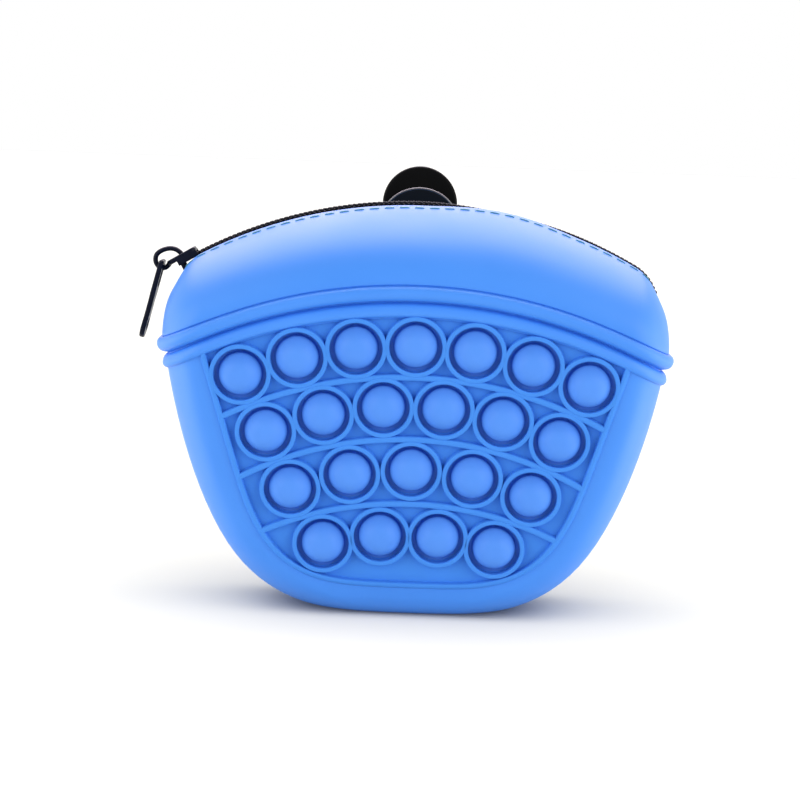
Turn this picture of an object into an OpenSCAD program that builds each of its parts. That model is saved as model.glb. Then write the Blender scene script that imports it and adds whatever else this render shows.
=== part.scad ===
// Moulded silicone treat pouch with an arched zip, push-through bubbles on its front and a spring clip
// on its back. Units are millimetres. X is to the right, Y to the back and Z up. The origin is the
// middle of the flat base.

/* [Pouch body] */
// Half width of the body at the groove between the two beads
body_half_w = 71.0; // [68:0.5:74]
// Height of the groove between the beads, at the middle of the front
bead_top = 89.0; // [87:0.5:91]
// Radius of the arch that the two beads follow, seen from the front
bead_arc_r = 142; // [130:1:170]
// Depth of the front wall from the zip's plane, at the top of the bubble panel
front_depth = 29.0; // [28:0.5:31]
// Lean of the flat front wall: its foot is further back than its top
front_lean = 7.0; // [6:0.5:8]
// Depth of the flat back wall from the zip's plane
rear_depth = 25.0; // [25:0.5:26]
// Thickness of the silicone wall
wall = 2.2; // [2:0.1:2.4]
// Width of the rounded corner between the front wall and the side
corner_w = 12.3; // [11:0.1:13]

/* [Zip] */
// Radius of the zip's arc, at the top of the chain
zip_r = 127; // [126:0.5:128]
// Height of the top of the chain at the middle
zip_top = 114.9; // [114.5:0.2:115.3]
// Angle from the middle of the zip to each end of the lips
lip_angle = 32.4; // [31.9:0.1:32.9]
// Half width of the slot between the two lips
lip_half_gap = 5.0; // [4.8:0.1:5.4]
// Distance between teeth on one side of the chain
tooth_pitch = 1.4; // [1.2:0.1:2]

/* [Bubble panel] */
// Bubbles in each row, from the top
row_count = [7, 6, 5, 4];
// Radius of the arc that each row follows
row_arc_r = [124.3, 100.8, 90.3, 96.8];
// Distance down the panel from its datum to the top of each row's arc
row_top = [7.1, 23.9, 41.8, 60.4];
// Angle between neighbours on each row's arc
row_step = [7.45, 9.35, 10.7, 9.4];
// Radius of the bore that a bubble sits in
bore_r = 7.05; // [7:0.05:7.1]
// Outer radius of the raised ring round a bubble
ring_r = 8.2; // [7.9:0.1:8.4]
// Radius of a bubble's dome at its foot
dome_r = 5.8; // [5.6:0.1:6]
// Height of a bubble's dome above its flange
dome_h = 4.5; // [4:0.1:5]

/* [Clip] */
// Width of the clip's fixed plate
clip_base_w = 24; // [22:0.5:26]
// Width of the clip's thumb lever
clip_lever_w = 22; // [20:0.5:23]
// Height of the clip's hinge pin
clip_pin_z = 100; // [99:0.5:101]
// Turns of the clip's spring
spring_turns = 4; // [3:1:5]

/* [Hidden] */
eps = 0.01;
gap = 0.3;
far = 60;
silicone = "cornflowerblue";
black = "#222428";
steel = "silver";
bubble_total = row_count[0] + row_count[1] + row_count[2] + row_count[3];

// Outline of the body
side_h = 82;
base_sink = 2;
side_power_h = 1.3;
side_power_w = 3.65;
corner_power = 2.2;
datum_z = 84;
foot_front_r = 6;
foot_front_h = 12;
foot_rear_r = 11;
foot_rear_h = 30;
clip_flat = 20;

function leg(t) = sqrt(max(0, 1 - t * t));
function bead_z(x) = bead_top - bead_arc_r + sqrt(bead_arc_r * bead_arc_r - x * x);
function side_t(z) = max(0, 1 - (z + base_sink) / side_h);
function half_w(z) = body_half_w * pow(1 - pow(side_t(z), side_power_h), 1 / side_power_w);
function foot(z, r, h) = z < h ? r * (1 - leg(1 - z / h)) : 0;
function front_y(z) = front_depth - (datum_z - z) * tan(front_lean) - foot(z, foot_front_r, foot_front_h);
function rear_y(z) = rear_depth - foot(z, foot_rear_r, foot_rear_h);

// Points round one level: the front wall, a corner to the side, a corner to the back, the back wall
flat_n = 18;
turn_n = 6;
ring_n = 2 * flat_n + 4 * turn_n;
quarter_n = flat_n + 2 * turn_n;

function is_front(i) = i <= flat_n;
function is_rear(i) = i >= quarter_n && i <= quarter_n + flat_n;
function turn_angle(i) = i < quarter_n ? 90 * (i - flat_n) / turn_n
    : 90 * (i - quarter_n - flat_n) / turn_n + 180;
function across(i) = is_front(i) ? 2 * i / flat_n - 1 : is_rear(i) ? 1 - 2 * (i - quarter_n) / flat_n : 0;
function spow(v) = sign(v) * pow(abs(v), 2 / corner_power);
function unit_out(i) = is_front(i) ? [0, -1]
    : is_rear(i) ? [0, 1]
    : [sin(turn_angle(i)), -cos(turn_angle(i))];

// Plan of the wall at height z, moved inwards by inset
function plan(i, z, inset) = let (
        a = max(half_w(z), corner_w + 2) - inset,
        flat = a - corner_w,
        yf = front_y(z) - inset,
        yr = rear_y(z) - inset,
        o = unit_out(i))
    is_front(i) ? [flat * across(i), -yf]
    : is_rear(i) ? [flat * across(i), yr]
    : [sign(o[0]) * (flat + corner_w * abs(spow(o[0]))), spow(o[1]) * (o[1] < 0 ? yf : yr)];

// Height of point i on the level that is share s of the way from the base to the groove
function settle(i, s, z, inset, n) = n == 0 ? z
    : settle(i, s, max(inset, s * bead_z(plan(i, z, inset)[0])), inset, n - 1);
function level_z(i, s, inset) = settle(i, s, s * bead_top, inset, 4);

// The beads stand clear of a flat area at the back where the clip is fixed
function proud(i, x) = is_rear(i) && abs(x) < clip_flat ? 0 : 1;

function wall_point(i, s, inset) = let (z = level_z(i, s, inset), p = plan(i, z, inset)) [p[0], p[1], z];
function bead_point(i, dz, out) = let (
        z = level_z(i, 1, 0) + dz,
        p = plan(i, z, 0),
        q = p + unit_out(i) * out * proud(i, p[0]))
    [q[0], q[1], z];

// Loop of the lips round the zip's slot, on the zip's arc
zip_cz = zip_top - zip_r;
tape_r = zip_r - 2.45;
tape_t = 0.5;
lip_r = zip_r - 0.55;
lip_t = 1.2;
lip_round = 1.5;
lip_share = 0.8;
turn_share = 2 / 3;
// How far point i is round its corner, from 0 at the front or back wall to 1 at the side
function turn_part(i) = is_front(i) || is_rear(i) ? 0 : 1 - abs(turn_angle(i) % 180 - 90) / 90;
function lip_point(i, r) = let (
        o = unit_out(i),
        t = turn_part(i),
        k = t == 0 ? across(i) * lip_share
            : sign(o[0]) * (lip_share + (1 - lip_share) * min(1, t / turn_share)),
        e = max(0, t - turn_share) / (1 - turn_share) * 90,
        b = k * lip_angle)
    [r * sin(b) + sign(o[0]) * lip_round * sin(e), sign(o[1]) * lip_half_gap * cos(e), zip_cz + r * cos(b)];

// Dome from the foot point b up to the lip point l
function dome_point(b, l, f) = [l[0] + (b[0] - l[0]) * cos(f), l[1] + (b[1] - l[1]) * cos(f),
    b[2] + (l[2] - b[2]) * sin(f)];

// Heights and reach of the two beads about the groove: lower bead, groove, upper bead, foot of the dome
bead_rows = [[-4.1, 0], [-3.8, 0.8], [-2.7, 1.35], [-1.2, 1.0], [-0.5, 0.2], [0.3, 0.2],
    [0.6, 1.2], [1.4, 2.0], [2.4, 2.15], [3.6, 1.8], [4.4, 0.8]];
low_shares = [0, 0.015, 0.04, 0.08, 0.13, 0.19, 0.27, 0.38, 0.52, 0.68, 0.84];
dome_steps = [15, 30, 45, 60, 75, 90];
in_shares = [0, 0.06, 0.15, 0.3, 0.6, 1];

function dome_foot(i) = bead_point(i, bead_rows[10][0], bead_rows[10][1]);
outer_rows = concat(
    [for (s = low_shares) [for (i = [0:ring_n - 1]) wall_point(i, s, 0)]],
    [for (b = bead_rows) [for (i = [0:ring_n - 1]) bead_point(i, b[0], b[1])]],
    [for (f = dome_steps) [for (i = [0:ring_n - 1]) dome_point(dome_foot(i), lip_point(i, lip_r), f)]]
);
inner_rows = concat(
    [for (f = [90:-18:18])
        [for (i = [0:ring_n - 1]) dome_point(wall_point(i, 1, wall), lip_point(i, lip_r - lip_t), f)]],
    [for (k = [len(in_shares) - 1:-1:0]) [for (i = [0:ring_n - 1]) wall_point(i, in_shares[k], wall)]]
);

// Closed skin through rows of points, with a flat face on the first row and on the last
module skin(rows) {
    n = len(rows[0]);
    strips = [for (r = [0:len(rows) - 2], i = [0:n - 1]) let (a = r * n + i, b = r * n + (i + 1) % n)
        each [[a, a + n, b], [b, a + n, b + n]]];
    last = (len(rows) - 1) * n;
    polyhedron([for (r = rows) each r],
        concat([[for (i = [0:n - 1]) i]], strips, [[for (i = [n - 1:-1:0]) last + i]]));
}

module hollow_body() {
    skin(concat(outer_rows, inner_rows));
}

// Band along the zip's arc, from angle b0 to b1, radius r0 to r1 and y0 to y1
module arc_band(b0, b1, r0, r1, y0, y1) {
    translate([0, 0, zip_cz])
        rotate([90, 0, 0])
            rotate([0, 0, 90 - b1])
                rotate_extrude(angle = b1 - b0, $fn = 180)
                    translate([r0, -y1])
                        square([r1 - r0, y1 - y0]);
}

// Moves a piece drawn at the top of the arc to angle b
module at_arc(b) {
    translate([0, 0, zip_cz])
        rotate([0, b, 0])
            children();
}

// Mouth: the part of the front dome that swings open
mouth_half = 50;
mouth_z = 97.5;
mouth_back = 2;
module mouth_block(inset) {
    translate([-mouth_half + inset, -far, mouth_z + inset])
        cube([2 * (mouth_half - inset), far - mouth_back, far]);
}

// Slider: rest position at the left end, and the channel that it runs in
slider_rest = -31;
slider_half_w = 3.7;
slider_half_l = 5;
slider_low_r = zip_r - 4.5;
slider_plate_t = 1.4;
slider_top_r = zip_r + 0.3;
notch_end = 36.8;
module slider_channel() {
    half = slider_half_w + 0.6;
    arc_band(-notch_end, -lip_angle + 1, slider_low_r - 0.7, zip_r + far, -half, half);
}

// Panel placed on the sloping front: u to the right, v down the slope, w out of the wall
module on_panel() {
    translate([0, -front_depth, datum_z])
        rotate([90 + front_lean, 0, 0])
            children();
}

panel_side_v = 35;
panel_foot_v = 75.4;
panel_foot_power = 2.2;
panel_top_z = 84.7;
panel_side_w = 51.4;
panel_lean = 0.27;
frame_rib = 1.8;
floor_w = -0.5;
rib_w = 1.0;
ring_w = 1.1;
divider = 1.7;
divider_drop = 0.1;
slab_t = wall * cos(front_lean) + 0.4;
foot_steps = 10;
arch_steps = 8;

// Distance down the slope of the panel's top edge, which runs along under the lower bead
function top_v(u) = (datum_z - panel_top_z + bead_top - bead_z(u)) / cos(front_lean);
panel_top_u = panel_side_w + (panel_side_v - top_v(58)) * panel_lean;
function foot_pow(v) = sign(v) * pow(abs(v), 2 / panel_foot_power);
panel_outline = concat(
    [for (k = [-arch_steps:arch_steps]) let (u = panel_top_u * k / arch_steps) [u, -top_v(u)]],
    [for (k = [0:2 * foot_steps]) let (a = 90 * k / foot_steps)
        [panel_side_w * foot_pow(cos(a)), -panel_side_v - (panel_foot_v - panel_side_v) * foot_pow(sin(a))]]
);
module panel_shape(inset) {
    offset(delta = -inset)
        polygon(panel_outline);
}

module panel_window() {
    on_panel()
        translate([0, 0, -3 * wall])
            linear_extrude(6 * wall)
                panel_shape(0);
}

// Place of bubble i, counted along the rows from the top left
function row_start(r) = r == 0 ? 0 : row_start(r - 1) + row_count[r - 1];
function row_of(i) = i < row_start(1) ? 0 : i < row_start(2) ? 1 : i < row_start(3) ? 2 : 3;
function bubble_place(i) = let (
        r = row_of(i),
        a = (i - row_start(r) - (row_count[r] - 1) / 2) * row_step[r])
    [row_arc_r[r] * sin(a), -row_top[r] - row_arc_r[r] * (1 - cos(a))];

module pouch_shell() {
    color(silicone)
        resize([0, 0, 0])
            difference() {
                hollow_body();
                panel_window();
                mouth_block(0);
                slider_channel();
                rivet_places()
                    cylinder(h = far, r = rivet_r + 0.1, center = true, $fn = 32);
            }
}

module front_lip() {
    color(silicone)
        resize([0, 0, 0])
            intersection() {
                hollow_body();
                mouth_block(gap);
            }
}

// Rib between two rows, on the arc midway between them
module divider_rib(r) {
    v = (row_top[r] + row_top[r + 1]) / 2 + divider_drop;
    arc = (row_arc_r[r] + row_arc_r[r + 1]) / 2;
    translate([0, -v - arc, floor_w])
        difference() {
            cylinder(h = rib_w - floor_w, r = arc + divider / 2, $fn = 120);
            translate([0, 0, -1])
                cylinder(h = 4, r = arc - divider / 2, $fn = 120);
        }
}
module bubble_panel() {
    color(silicone)
        on_panel()
            difference() {
                union() {
                    translate([0, 0, -slab_t])
                        linear_extrude(slab_t + floor_w)
                            panel_shape(0);
                    difference() {
                        translate([0, 0, floor_w - eps])
                            linear_extrude(rib_w - floor_w + eps)
                                panel_shape(0);
                        for (rise = [0, 2 * frame_rib])
                            translate([0, rise, floor_w - 1])
                                linear_extrude(4)
                                    panel_shape(frame_rib);
                    }
                    intersection() {
                        translate([0, 0, floor_w - eps])
                            linear_extrude(4)
                                panel_shape(frame_rib / 2);
                        union() {
                            for (r = [0:2])
                                divider_rib(r);
                            for (i = [0:bubble_total - 1])
                                translate(bubble_place(i))
                                    translate([0, 0, floor_w - 0.2])
                                        cylinder(h = ring_w - floor_w + 0.2, r = ring_r, $fn = 40);
                        }
                    }
                }
                for (i = [0:bubble_total - 1])
                    translate(bubble_place(i))
                        cylinder(h = far, r = bore_r, center = true, $fn = 40);
            }
}

// One bubble: a thin flange in the bore and a hollow dome
dome_wall = 0.8;
flange_w = -0.3;
dome_cap_r = (dome_h * dome_h + dome_r * dome_r) / (2 * dome_h);
dome_cap_a = asin(dome_r / dome_cap_r);
dome_n = 6;
function dome_arc(r, k) = let (a = dome_cap_a * (1 - k / dome_n))
    [r * sin(a), flange_w + dome_h - dome_cap_r + r * cos(a)];
module bubble(i) {
    inner_r = dome_cap_r - dome_wall;
    color(silicone)
        on_panel()
            translate(bubble_place(i))
                rotate_extrude($fn = 40)
                    polygon(concat(
                        [[bore_r - gap, flange_w], [dome_r, flange_w]],
                        [for (k = [1:dome_n - 1]) dome_arc(dome_cap_r, k)],
                        [[0, flange_w + dome_h], [0, flange_w + dome_h - dome_wall]],
                        [for (k = [dome_n - 1:-2:1]) dome_arc(inner_r, k)],
                        [[dome_r - dome_wall, flange_w - dome_wall], [bore_r - gap, flange_w - dome_wall]]
                    ));
}

// Zip tapes lie under the lips, with a gap between them for the slider's post
tape_inner = 1.4;
tape_outer = 6.2;
module zip_tape_front() {
    color(black)
        arc_band(-lip_angle, lip_angle, tape_r - tape_t / 2, tape_r + tape_t / 2, -tape_outer, -tape_inner);
}
module zip_tape_rear() {
    color(black)
        arc_band(-lip_angle, lip_angle, tape_r - tape_t / 2, tape_r + tape_t / 2, tape_inner, tape_outer);
}

// Chain: on each side a rail sewn to the tape, whose teeth reach past the middle between the other side's
coil_r0 = tape_r + tape_t / 2;
coil_outer = 2.3;
coil_root = 0.9;
tooth_reach = 0.6;
tooth_w = 0.52;
chain_angle = lip_angle - 2.2;
tooth_a = tooth_pitch / zip_r * 180 / PI;
tooth_n = floor(chain_angle / tooth_a - 0.5);
module teeth(shift) {
    half = tooth_w / 2;
    low = coil_r0 + 0.2;
    high = zip_r - 0.1;
    centres = [for (k = [-tooth_n:tooth_n]) (k + shift) * tooth_a];
    corners = [for (a = centres, c = [[low, -half], [high, -half], [high, half], [low, half]])
        [c[0] * sin(a) + c[1] * cos(a), c[0] * cos(a) - c[1] * sin(a)]];
    linear_extrude(tooth_reach + coil_root + 0.3)
        polygon(corners, [for (k = [0:2 * tooth_n]) [4 * k, 4 * k + 1, 4 * k + 2, 4 * k + 3]]);
}
module coil_half(shift) {
    arc_band(-chain_angle, chain_angle, coil_r0, zip_r, -coil_outer, -coil_root);
    translate([0, tooth_reach, zip_cz])
        rotate([90, 0, 0])
            teeth(shift);
}
module zip_coil_front() {
    color(black)
        coil_half(0.25);
}
module zip_coil_rear() {
    color(black)
        mirror([0, 1, 0])
            coil_half(-0.25);
}

// Slider: two plates joined by a post at the nose, side flanges and a bail for the tab
post_r = 1.05;
post_x = -3.6;
nose_x = -2.2;
nose_run = 1.4;
nose_half_w = 1.8;
tail_half_w = 3.0;
flange_t = 0.95;
tail_flange_t = 0.3;
flange_h = 1.4;
bail_half_w = 1.0;
bail_t = 1.1;
bail_line = [[-4.3, -0.7], [-5.2, -1.15], [-6.2, -1.3], [-7.3, -0.8], [-7.8, 0.3], [-7.7, 1.6], [-6.9, 2.8],
    [-5.4, 3.6], [-3.2, 3.9], [-0.8, 3.5], [1.0, 2.3], [2.2, 0.5], [2.5, -0.3]];
module slider_outline() {
    polygon([[-slider_half_l, -nose_half_w], [nose_x - nose_run, -slider_half_w], [nose_x, -slider_half_w],
        [slider_half_l, -tail_half_w], [slider_half_l, tail_half_w], [nose_x, slider_half_w],
        [nose_x - nose_run, slider_half_w], [-slider_half_l, nose_half_w]]);
}
// Side view of the bail: a bent strip from the tail that bows out past the nose and hooks back under it
function strip_side(line, k, d) = let (
        t = line[min(k + 1, len(line) - 1)] - line[max(k - 1, 0)])
    line[k] + d * [-t[1], t[0]] / norm(t);
module bail_side() {
    last = len(bail_line) - 1;
    polygon(concat(
        [for (k = [0:last]) strip_side(bail_line, k, bail_t / 2)],
        [for (k = [last:-1:0]) strip_side(bail_line, k, -bail_t / 2)]
    ));
}
module zip_slider() {
    color(black)
        at_arc(slider_rest) {
            translate([0, 0, slider_low_r])
                linear_extrude(slider_plate_t)
                    slider_outline();
            translate([0, 0, slider_top_r])
                linear_extrude(slider_plate_t)
                    slider_outline();
            translate([post_x, 0, slider_low_r + slider_plate_t - eps])
                cylinder(h = slider_top_r - slider_low_r - slider_plate_t + 2 * eps, r = post_r, $fn = 24);
            for (m = [0, 1])
                mirror([0, m, 0])
                    translate([0, 0, slider_top_r - flange_h])
                        linear_extrude(flange_h + eps)
                            polygon([[nose_x, slider_half_w - flange_t],
                                [slider_half_l, tail_half_w - tail_flange_t],
                                [slider_half_l, tail_half_w], [nose_x, slider_half_w]]);
            translate([0, bail_half_w, slider_top_r + slider_plate_t - eps])
                rotate([90, 0, 0])
                    linear_extrude(2 * bail_half_w)
                        bail_side();
        }
}

// Pull tab: hangs from the bail by a round bar, with an eye that the bail passes through
pivot_x = -6.2;
pivot_h = 0.5;
tab_l = 22;
tab_half_w = 4;
tab_t = 1.4;
eye_half_w = 1.6;
eye_l = 7;
tab_lean = 14;
bar_r = 0.7;
shoulder_half_w = 3.8;
shoulder_l = 10;
neck_half_w = 3.1;
tip_x = tab_l - tab_half_w;
tip_hole_r = 1.6;
pivot_r = slider_top_r + slider_plate_t + pivot_h;
pivot = [pivot_x * cos(slider_rest) + pivot_r * sin(slider_rest), 0,
    zip_cz - pivot_x * sin(slider_rest) + pivot_r * cos(slider_rest)];
module pull_tab() {
    color(black)
        translate(pivot)
            rotate([0, 90 + tab_lean, 0]) {
                rotate([90, 0, 0])
                    cylinder(h = 2 * shoulder_half_w, r = bar_r, center = true, $fn = 24);
                difference() {
                    translate([0, 0, -tab_t / 2])
                        linear_extrude(tab_t) {
                            translate([0, -shoulder_half_w])
                                square([shoulder_l, 2 * shoulder_half_w]);
                            translate([eye_l, -neck_half_w])
                                square([tip_x - eye_l, 2 * neck_half_w]);
                            translate([tip_x, 0])
                                circle(tab_half_w, $fn = 40);
                        }
                    translate([-1, -eye_half_w, -2])
                        cube([eye_l + 1, 2 * eye_half_w, 4]);
                    translate([tip_x, 0, -2])
                        cylinder(h = 4, r = tip_hole_r, $fn = 24);
                }
            }
}

// Clip on the back: a fixed plate, a sprung thumb lever on a pin, and the fixings through the wall
clip_y = rear_depth;
plate_t = 3;
plate_low = 64;
plate_round = 12;
plate_top = 118;
pin_y = clip_y + plate_t + 3.4;
pin_r = 1.5;
lug_r = 2.7;
ear_in = 6.6;
ear_out = 8.8;
knuckle_in = 4.2;
rivet_r = 1.6;
rivet_z = [70, 82];

module rivet_places() {
    for (z = rivet_z)
        translate([0, clip_y, z])
            rotate([90, 0, 0])
                children();
}

// Plate with a round top, drawn in the XZ plane
module round_plate(w, r, low, high) {
    translate([0, high - r])
        circle(r, $fn = 64);
    translate([-w / 2, low + 4])
        square([w, high - r - low - 4]);
    translate([-w / 2 + 4, low])
        square([w - 8, 5]);
    for (m = [-1, 1])
        translate([m * (w / 2 - 4), low + 4])
            circle(4, $fn = 32);
}

// Lug for the pin: a round end on a root that reaches to y = root
module lug(x0, x1, root, bore) {
    translate([x0, 0, 0])
        rotate([90, 0, 90])
            linear_extrude(x1 - x0)
                difference() {
                    union() {
                        translate([pin_y, clip_pin_z])
                            circle(lug_r, $fn = 40);
                        translate([min(root, pin_y), clip_pin_z - lug_r])
                            square([abs(root - pin_y), 2 * lug_r]);
                    }
                    translate([pin_y, clip_pin_z])
                        circle(bore, $fn = 40);
                }
}

module clip_base() {
    color(black)
        difference() {
            union() {
                translate([0, clip_y + plate_t, 0])
                    rotate([90, 0, 0])
                        linear_extrude(plate_t)
                            round_plate(clip_base_w, plate_round, plate_low, plate_top);
                lug(ear_in, ear_out, clip_y + plate_t - 0.5, pin_r);
                lug(-ear_out, -ear_in, clip_y + plate_t - 0.5, pin_r);
            }
            rivet_places()
                cylinder(h = far, r = rivet_r + 0.1, center = true, $fn = 32);
            rivet_places()
                translate([0, 0, -plate_t - eps])
                    cylinder(h = 1.5, r = rivet_head_r + 0.2, $fn = 40);
        }
}

// Side view of the lever: a thumb pad that leans back, a straight grip and a jaw that hooks in
lever_y = pin_y + 3.2;
lever_t = 2.4;
lever_top = 124;
jaw_z = 66;
module lever_side() {
    polygon([[lever_y + 1.6, lever_top], [lever_y + 0.4, clip_pin_z + 10], [lever_y, clip_pin_z + 3],
        [lever_y - 0.6, 78], [lever_y - 2.2, 74], [clip_y + plate_t + gap, 70.5],
        [clip_y + plate_t + gap, 68.5], [lever_y - 2.5, jaw_z], [lever_y + 0.6, jaw_z + 2],
        [lever_y + lever_t - 0.6, 78],
        [lever_y + lever_t, clip_pin_z], [lever_y + lever_t + 0.8, clip_pin_z + 10],
        [lever_y + lever_t + 1.8, lever_top - 1], [lever_y + lever_t + 1.2, lever_top]]);
}
module clip_lever() {
    color(black) {
        intersection() {
            translate([-clip_lever_w / 2, 0, 0])
                rotate([90, 0, 90])
                    linear_extrude(clip_lever_w)
                        lever_side();
            translate([0, far, 0])
                rotate([90, 0, 0])
                    linear_extrude(far)
                        round_plate(clip_lever_w, clip_lever_w / 2, jaw_z - 1, lever_top);
        }
        lug(knuckle_in, ear_in - gap, lever_y + 0.5, pin_r + 0.05);
        lug(-ear_in + gap, -knuckle_in, lever_y + 0.5, pin_r + 0.05);
    }
}

module clip_pin() {
    color(steel)
        translate([0, pin_y, clip_pin_z])
            rotate([0, 90, 0])
                cylinder(h = 2 * ear_out + 0.6, r = pin_r, center = true, $fn = 32);
}

// Torsion spring: one wire, wound round the pin, with a leg to the plate and a leg to the lever
wire_r = 0.35;
wire_sides = 6;
coil_mean_r = 2.35;
coil_pitch = 1.25;
rings_per_turn = 12;
coil_half_l = coil_pitch * spring_turns / 2;
leg_drop = 8;
wound = [for (k = [0:rings_per_turn * spring_turns]) let (a = 360 * k / rings_per_turn)
    [-coil_half_l + coil_pitch * k / rings_per_turn, coil_mean_r * cos(a), coil_mean_r * sin(a)]];
leg_first = [-coil_half_l, coil_mean_r, -leg_drop];
leg_last = [coil_half_l, coil_mean_r, leg_drop];
spring_path = concat([leg_first, leg_first + [0, 0, leg_drop - 2]], wound,
    [leg_last - [0, 0, leg_drop - 2], leg_last]);
function unit(v) = v / norm(v);
function tangent(p, k) = unit(p[min(k + 1, len(p) - 1)] - p[max(k - 1, 0)]);
function wire_ring(p, k) = let (
        t = tangent(p, k),
        a = unit(cross(t, [1, 0, 0.02])),
        b = cross(t, a))
    [for (j = [0:wire_sides - 1]) let (f = 360 * j / wire_sides) p[k] + wire_r * (a * cos(f) + b * sin(f))];
spring_gap = min([for (i = [0:len(wound) - 1], j = [i + rings_per_turn / 2:1:len(wound) - 1])
    norm(wound[i] - wound[j])]) - 2 * wire_r;
echo(spring_gap = spring_gap);
module clip_spring() {
    color(steel)
        translate([0, pin_y, clip_pin_z])
            skin([for (k = [0:len(spring_path) - 1]) wire_ring(spring_path, k)]);
}

// Rivets clamp the wall between the clip and a plate inside the pouch
rivet_head_r = 3;
backing_t = 2;
module clip_rivets() {
    color(steel)
        for (z = rivet_z)
            translate([0, clip_y, z])
                rotate([90, 0, 0]) {
                    translate([0, 0, -plate_t + 0.4])
                        cylinder(h = 1.1 - eps, r = rivet_head_r, $fn = 40);
                    translate([0, 0, -plate_t + 1])
                        cylinder(h = plate_t + wall + backing_t + 0.4, r = rivet_r, $fn = 32);
                    translate([0, 0, wall + backing_t])
                        cylinder(h = 1.2, r = rivet_head_r, $fn = 40);
                }
}
module backing_plate() {
    color(black)
        translate([0, clip_y - wall, 0])
            rotate([90, 0, 0])
                difference() {
                    linear_extrude(backing_t)
                        round_plate(18, 9, rivet_z[0] - 7, rivet_z[1] + 6);
                    for (z = rivet_z)
                        translate([0, z, -1])
                            cylinder(h = 5, r = rivet_r + 0.1, $fn = 32);
                }
}

pouch_shell();
front_lip();
bubble_panel();
for (i = [1:bubble_total])
    bubble(i - 1);
zip_tape_front();
zip_tape_rear();
zip_coil_front();
zip_coil_rear();
zip_slider();
pull_tab();
clip_base();
clip_lever();
clip_pin();
clip_spring();
clip_rivets();
backing_plate();
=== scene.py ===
"""Looks of a moulded silicone treat pouch, built round its packed construction model.

Sizes are millimetres in the model's own frame: X to the right, Y to the back where the clip is, Z up from the
base that the pouch stands on. Only the finished meshes, the lamps and the camera are in metres.
"""

import logging
import math
from abc import ABC, abstractmethod
from collections.abc import Callable, Sequence
from dataclasses import dataclass, field
from enum import Enum

import bpy
import numpy as np
from mathutils import Matrix, Vector
from mathutils.geometry import delaunay_2d_cdt


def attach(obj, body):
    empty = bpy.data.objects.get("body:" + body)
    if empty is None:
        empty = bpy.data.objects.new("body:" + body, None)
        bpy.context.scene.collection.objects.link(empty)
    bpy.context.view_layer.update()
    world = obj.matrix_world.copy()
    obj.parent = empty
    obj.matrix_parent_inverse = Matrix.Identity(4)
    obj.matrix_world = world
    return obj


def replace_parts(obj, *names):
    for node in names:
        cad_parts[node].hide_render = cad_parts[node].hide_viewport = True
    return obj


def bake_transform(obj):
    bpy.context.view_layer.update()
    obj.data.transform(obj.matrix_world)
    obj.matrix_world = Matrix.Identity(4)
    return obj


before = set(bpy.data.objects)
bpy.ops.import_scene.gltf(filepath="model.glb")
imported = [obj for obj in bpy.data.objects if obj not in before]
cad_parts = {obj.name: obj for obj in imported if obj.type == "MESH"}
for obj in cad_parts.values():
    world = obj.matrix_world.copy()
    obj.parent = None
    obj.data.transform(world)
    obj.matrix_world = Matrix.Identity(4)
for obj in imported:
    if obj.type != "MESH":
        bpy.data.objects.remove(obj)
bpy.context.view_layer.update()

MM = 0.001
log = logging.getLogger("pouch")

# A rounded end stops just short of a point
TIP_SHARE = 0.02
EDGE_STEPS = 4
CURVE_STEPS = 6
# A wave texture of scale 1 repeats at this distance
WAVE_LENGTH = 0.314
# Noise keeps mostly to the middle of its range
NOISE_RANGE = {"From Min": 0.3, "From Max": 0.7}

# Points round a closed line, a rule that puts points of a plane and their levels into space, and a face's level
Loop = np.ndarray
Place = Callable[[np.ndarray, np.ndarray], np.ndarray]
Level = Callable[[np.ndarray], np.ndarray]


class Body(Enum):
    """Moving bodies of the model that pieces ride on."""

    POUCH = "pouch"
    LIP = "front_lip"
    SLIDER = "slider"
    TAB = "pull_tab"
    LEVER = "clip_lever"


class Side(Enum):
    """The two halves of the zip, by the sign of their Y."""

    FRONT = -1
    REAR = 1

    @property
    def word(self) -> str:
        """The half's name in the names of pieces."""
        return self.name.lower()


class Lights(Enum):
    """What a lamp lights, as light linking puts it for the floor."""

    POUCH = "EXCLUDE"
    FLOOR = "INCLUDE"


# Geometry helpers


def unit(vectors: np.ndarray) -> np.ndarray:
    """Vectors of length one along the last axis."""
    return vectors / np.maximum(np.linalg.norm(vectors, axis=-1, keepdims=True), 1e-12)


def ease(values: np.ndarray, low: float, high: float) -> np.ndarray:
    """Smooth step from 0 at low to 1 at high."""
    t = np.clip((values - low) / (high - low), 0, 1)
    return t * t * (3 - 2 * t)


def along(line: np.ndarray) -> np.ndarray:
    """Distance from the first point of a line to each of its points."""
    return np.concatenate([[0], np.cumsum(np.linalg.norm(np.diff(line, axis=0), axis=1))])


def sampled(values: np.ndarray, run: np.ndarray, at: np.ndarray) -> np.ndarray:
    """Values that are known at the distances run along a line, at other distances along it."""
    return np.stack([np.interp(at, run, column) for column in values.T], axis=1)


def spaced(line: np.ndarray, count: int) -> np.ndarray:
    """The same line through count evenly spaced points."""
    run = along(line)
    return sampled(line, run, np.linspace(0, run[-1], count))


def left_of(ahead: np.ndarray) -> np.ndarray:
    """Directions in a plane, turned a quarter to the left."""
    return np.stack([-ahead[:, 1], ahead[:, 0]], 1)


def arc_points(centre: Sequence[float], radius: float, angles: np.ndarray) -> list[tuple[float, float]]:
    """Points of a circle at some angles."""
    return [(centre[0] + radius * math.cos(t), centre[1] + radius * math.sin(t)) for t in angles]


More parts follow.
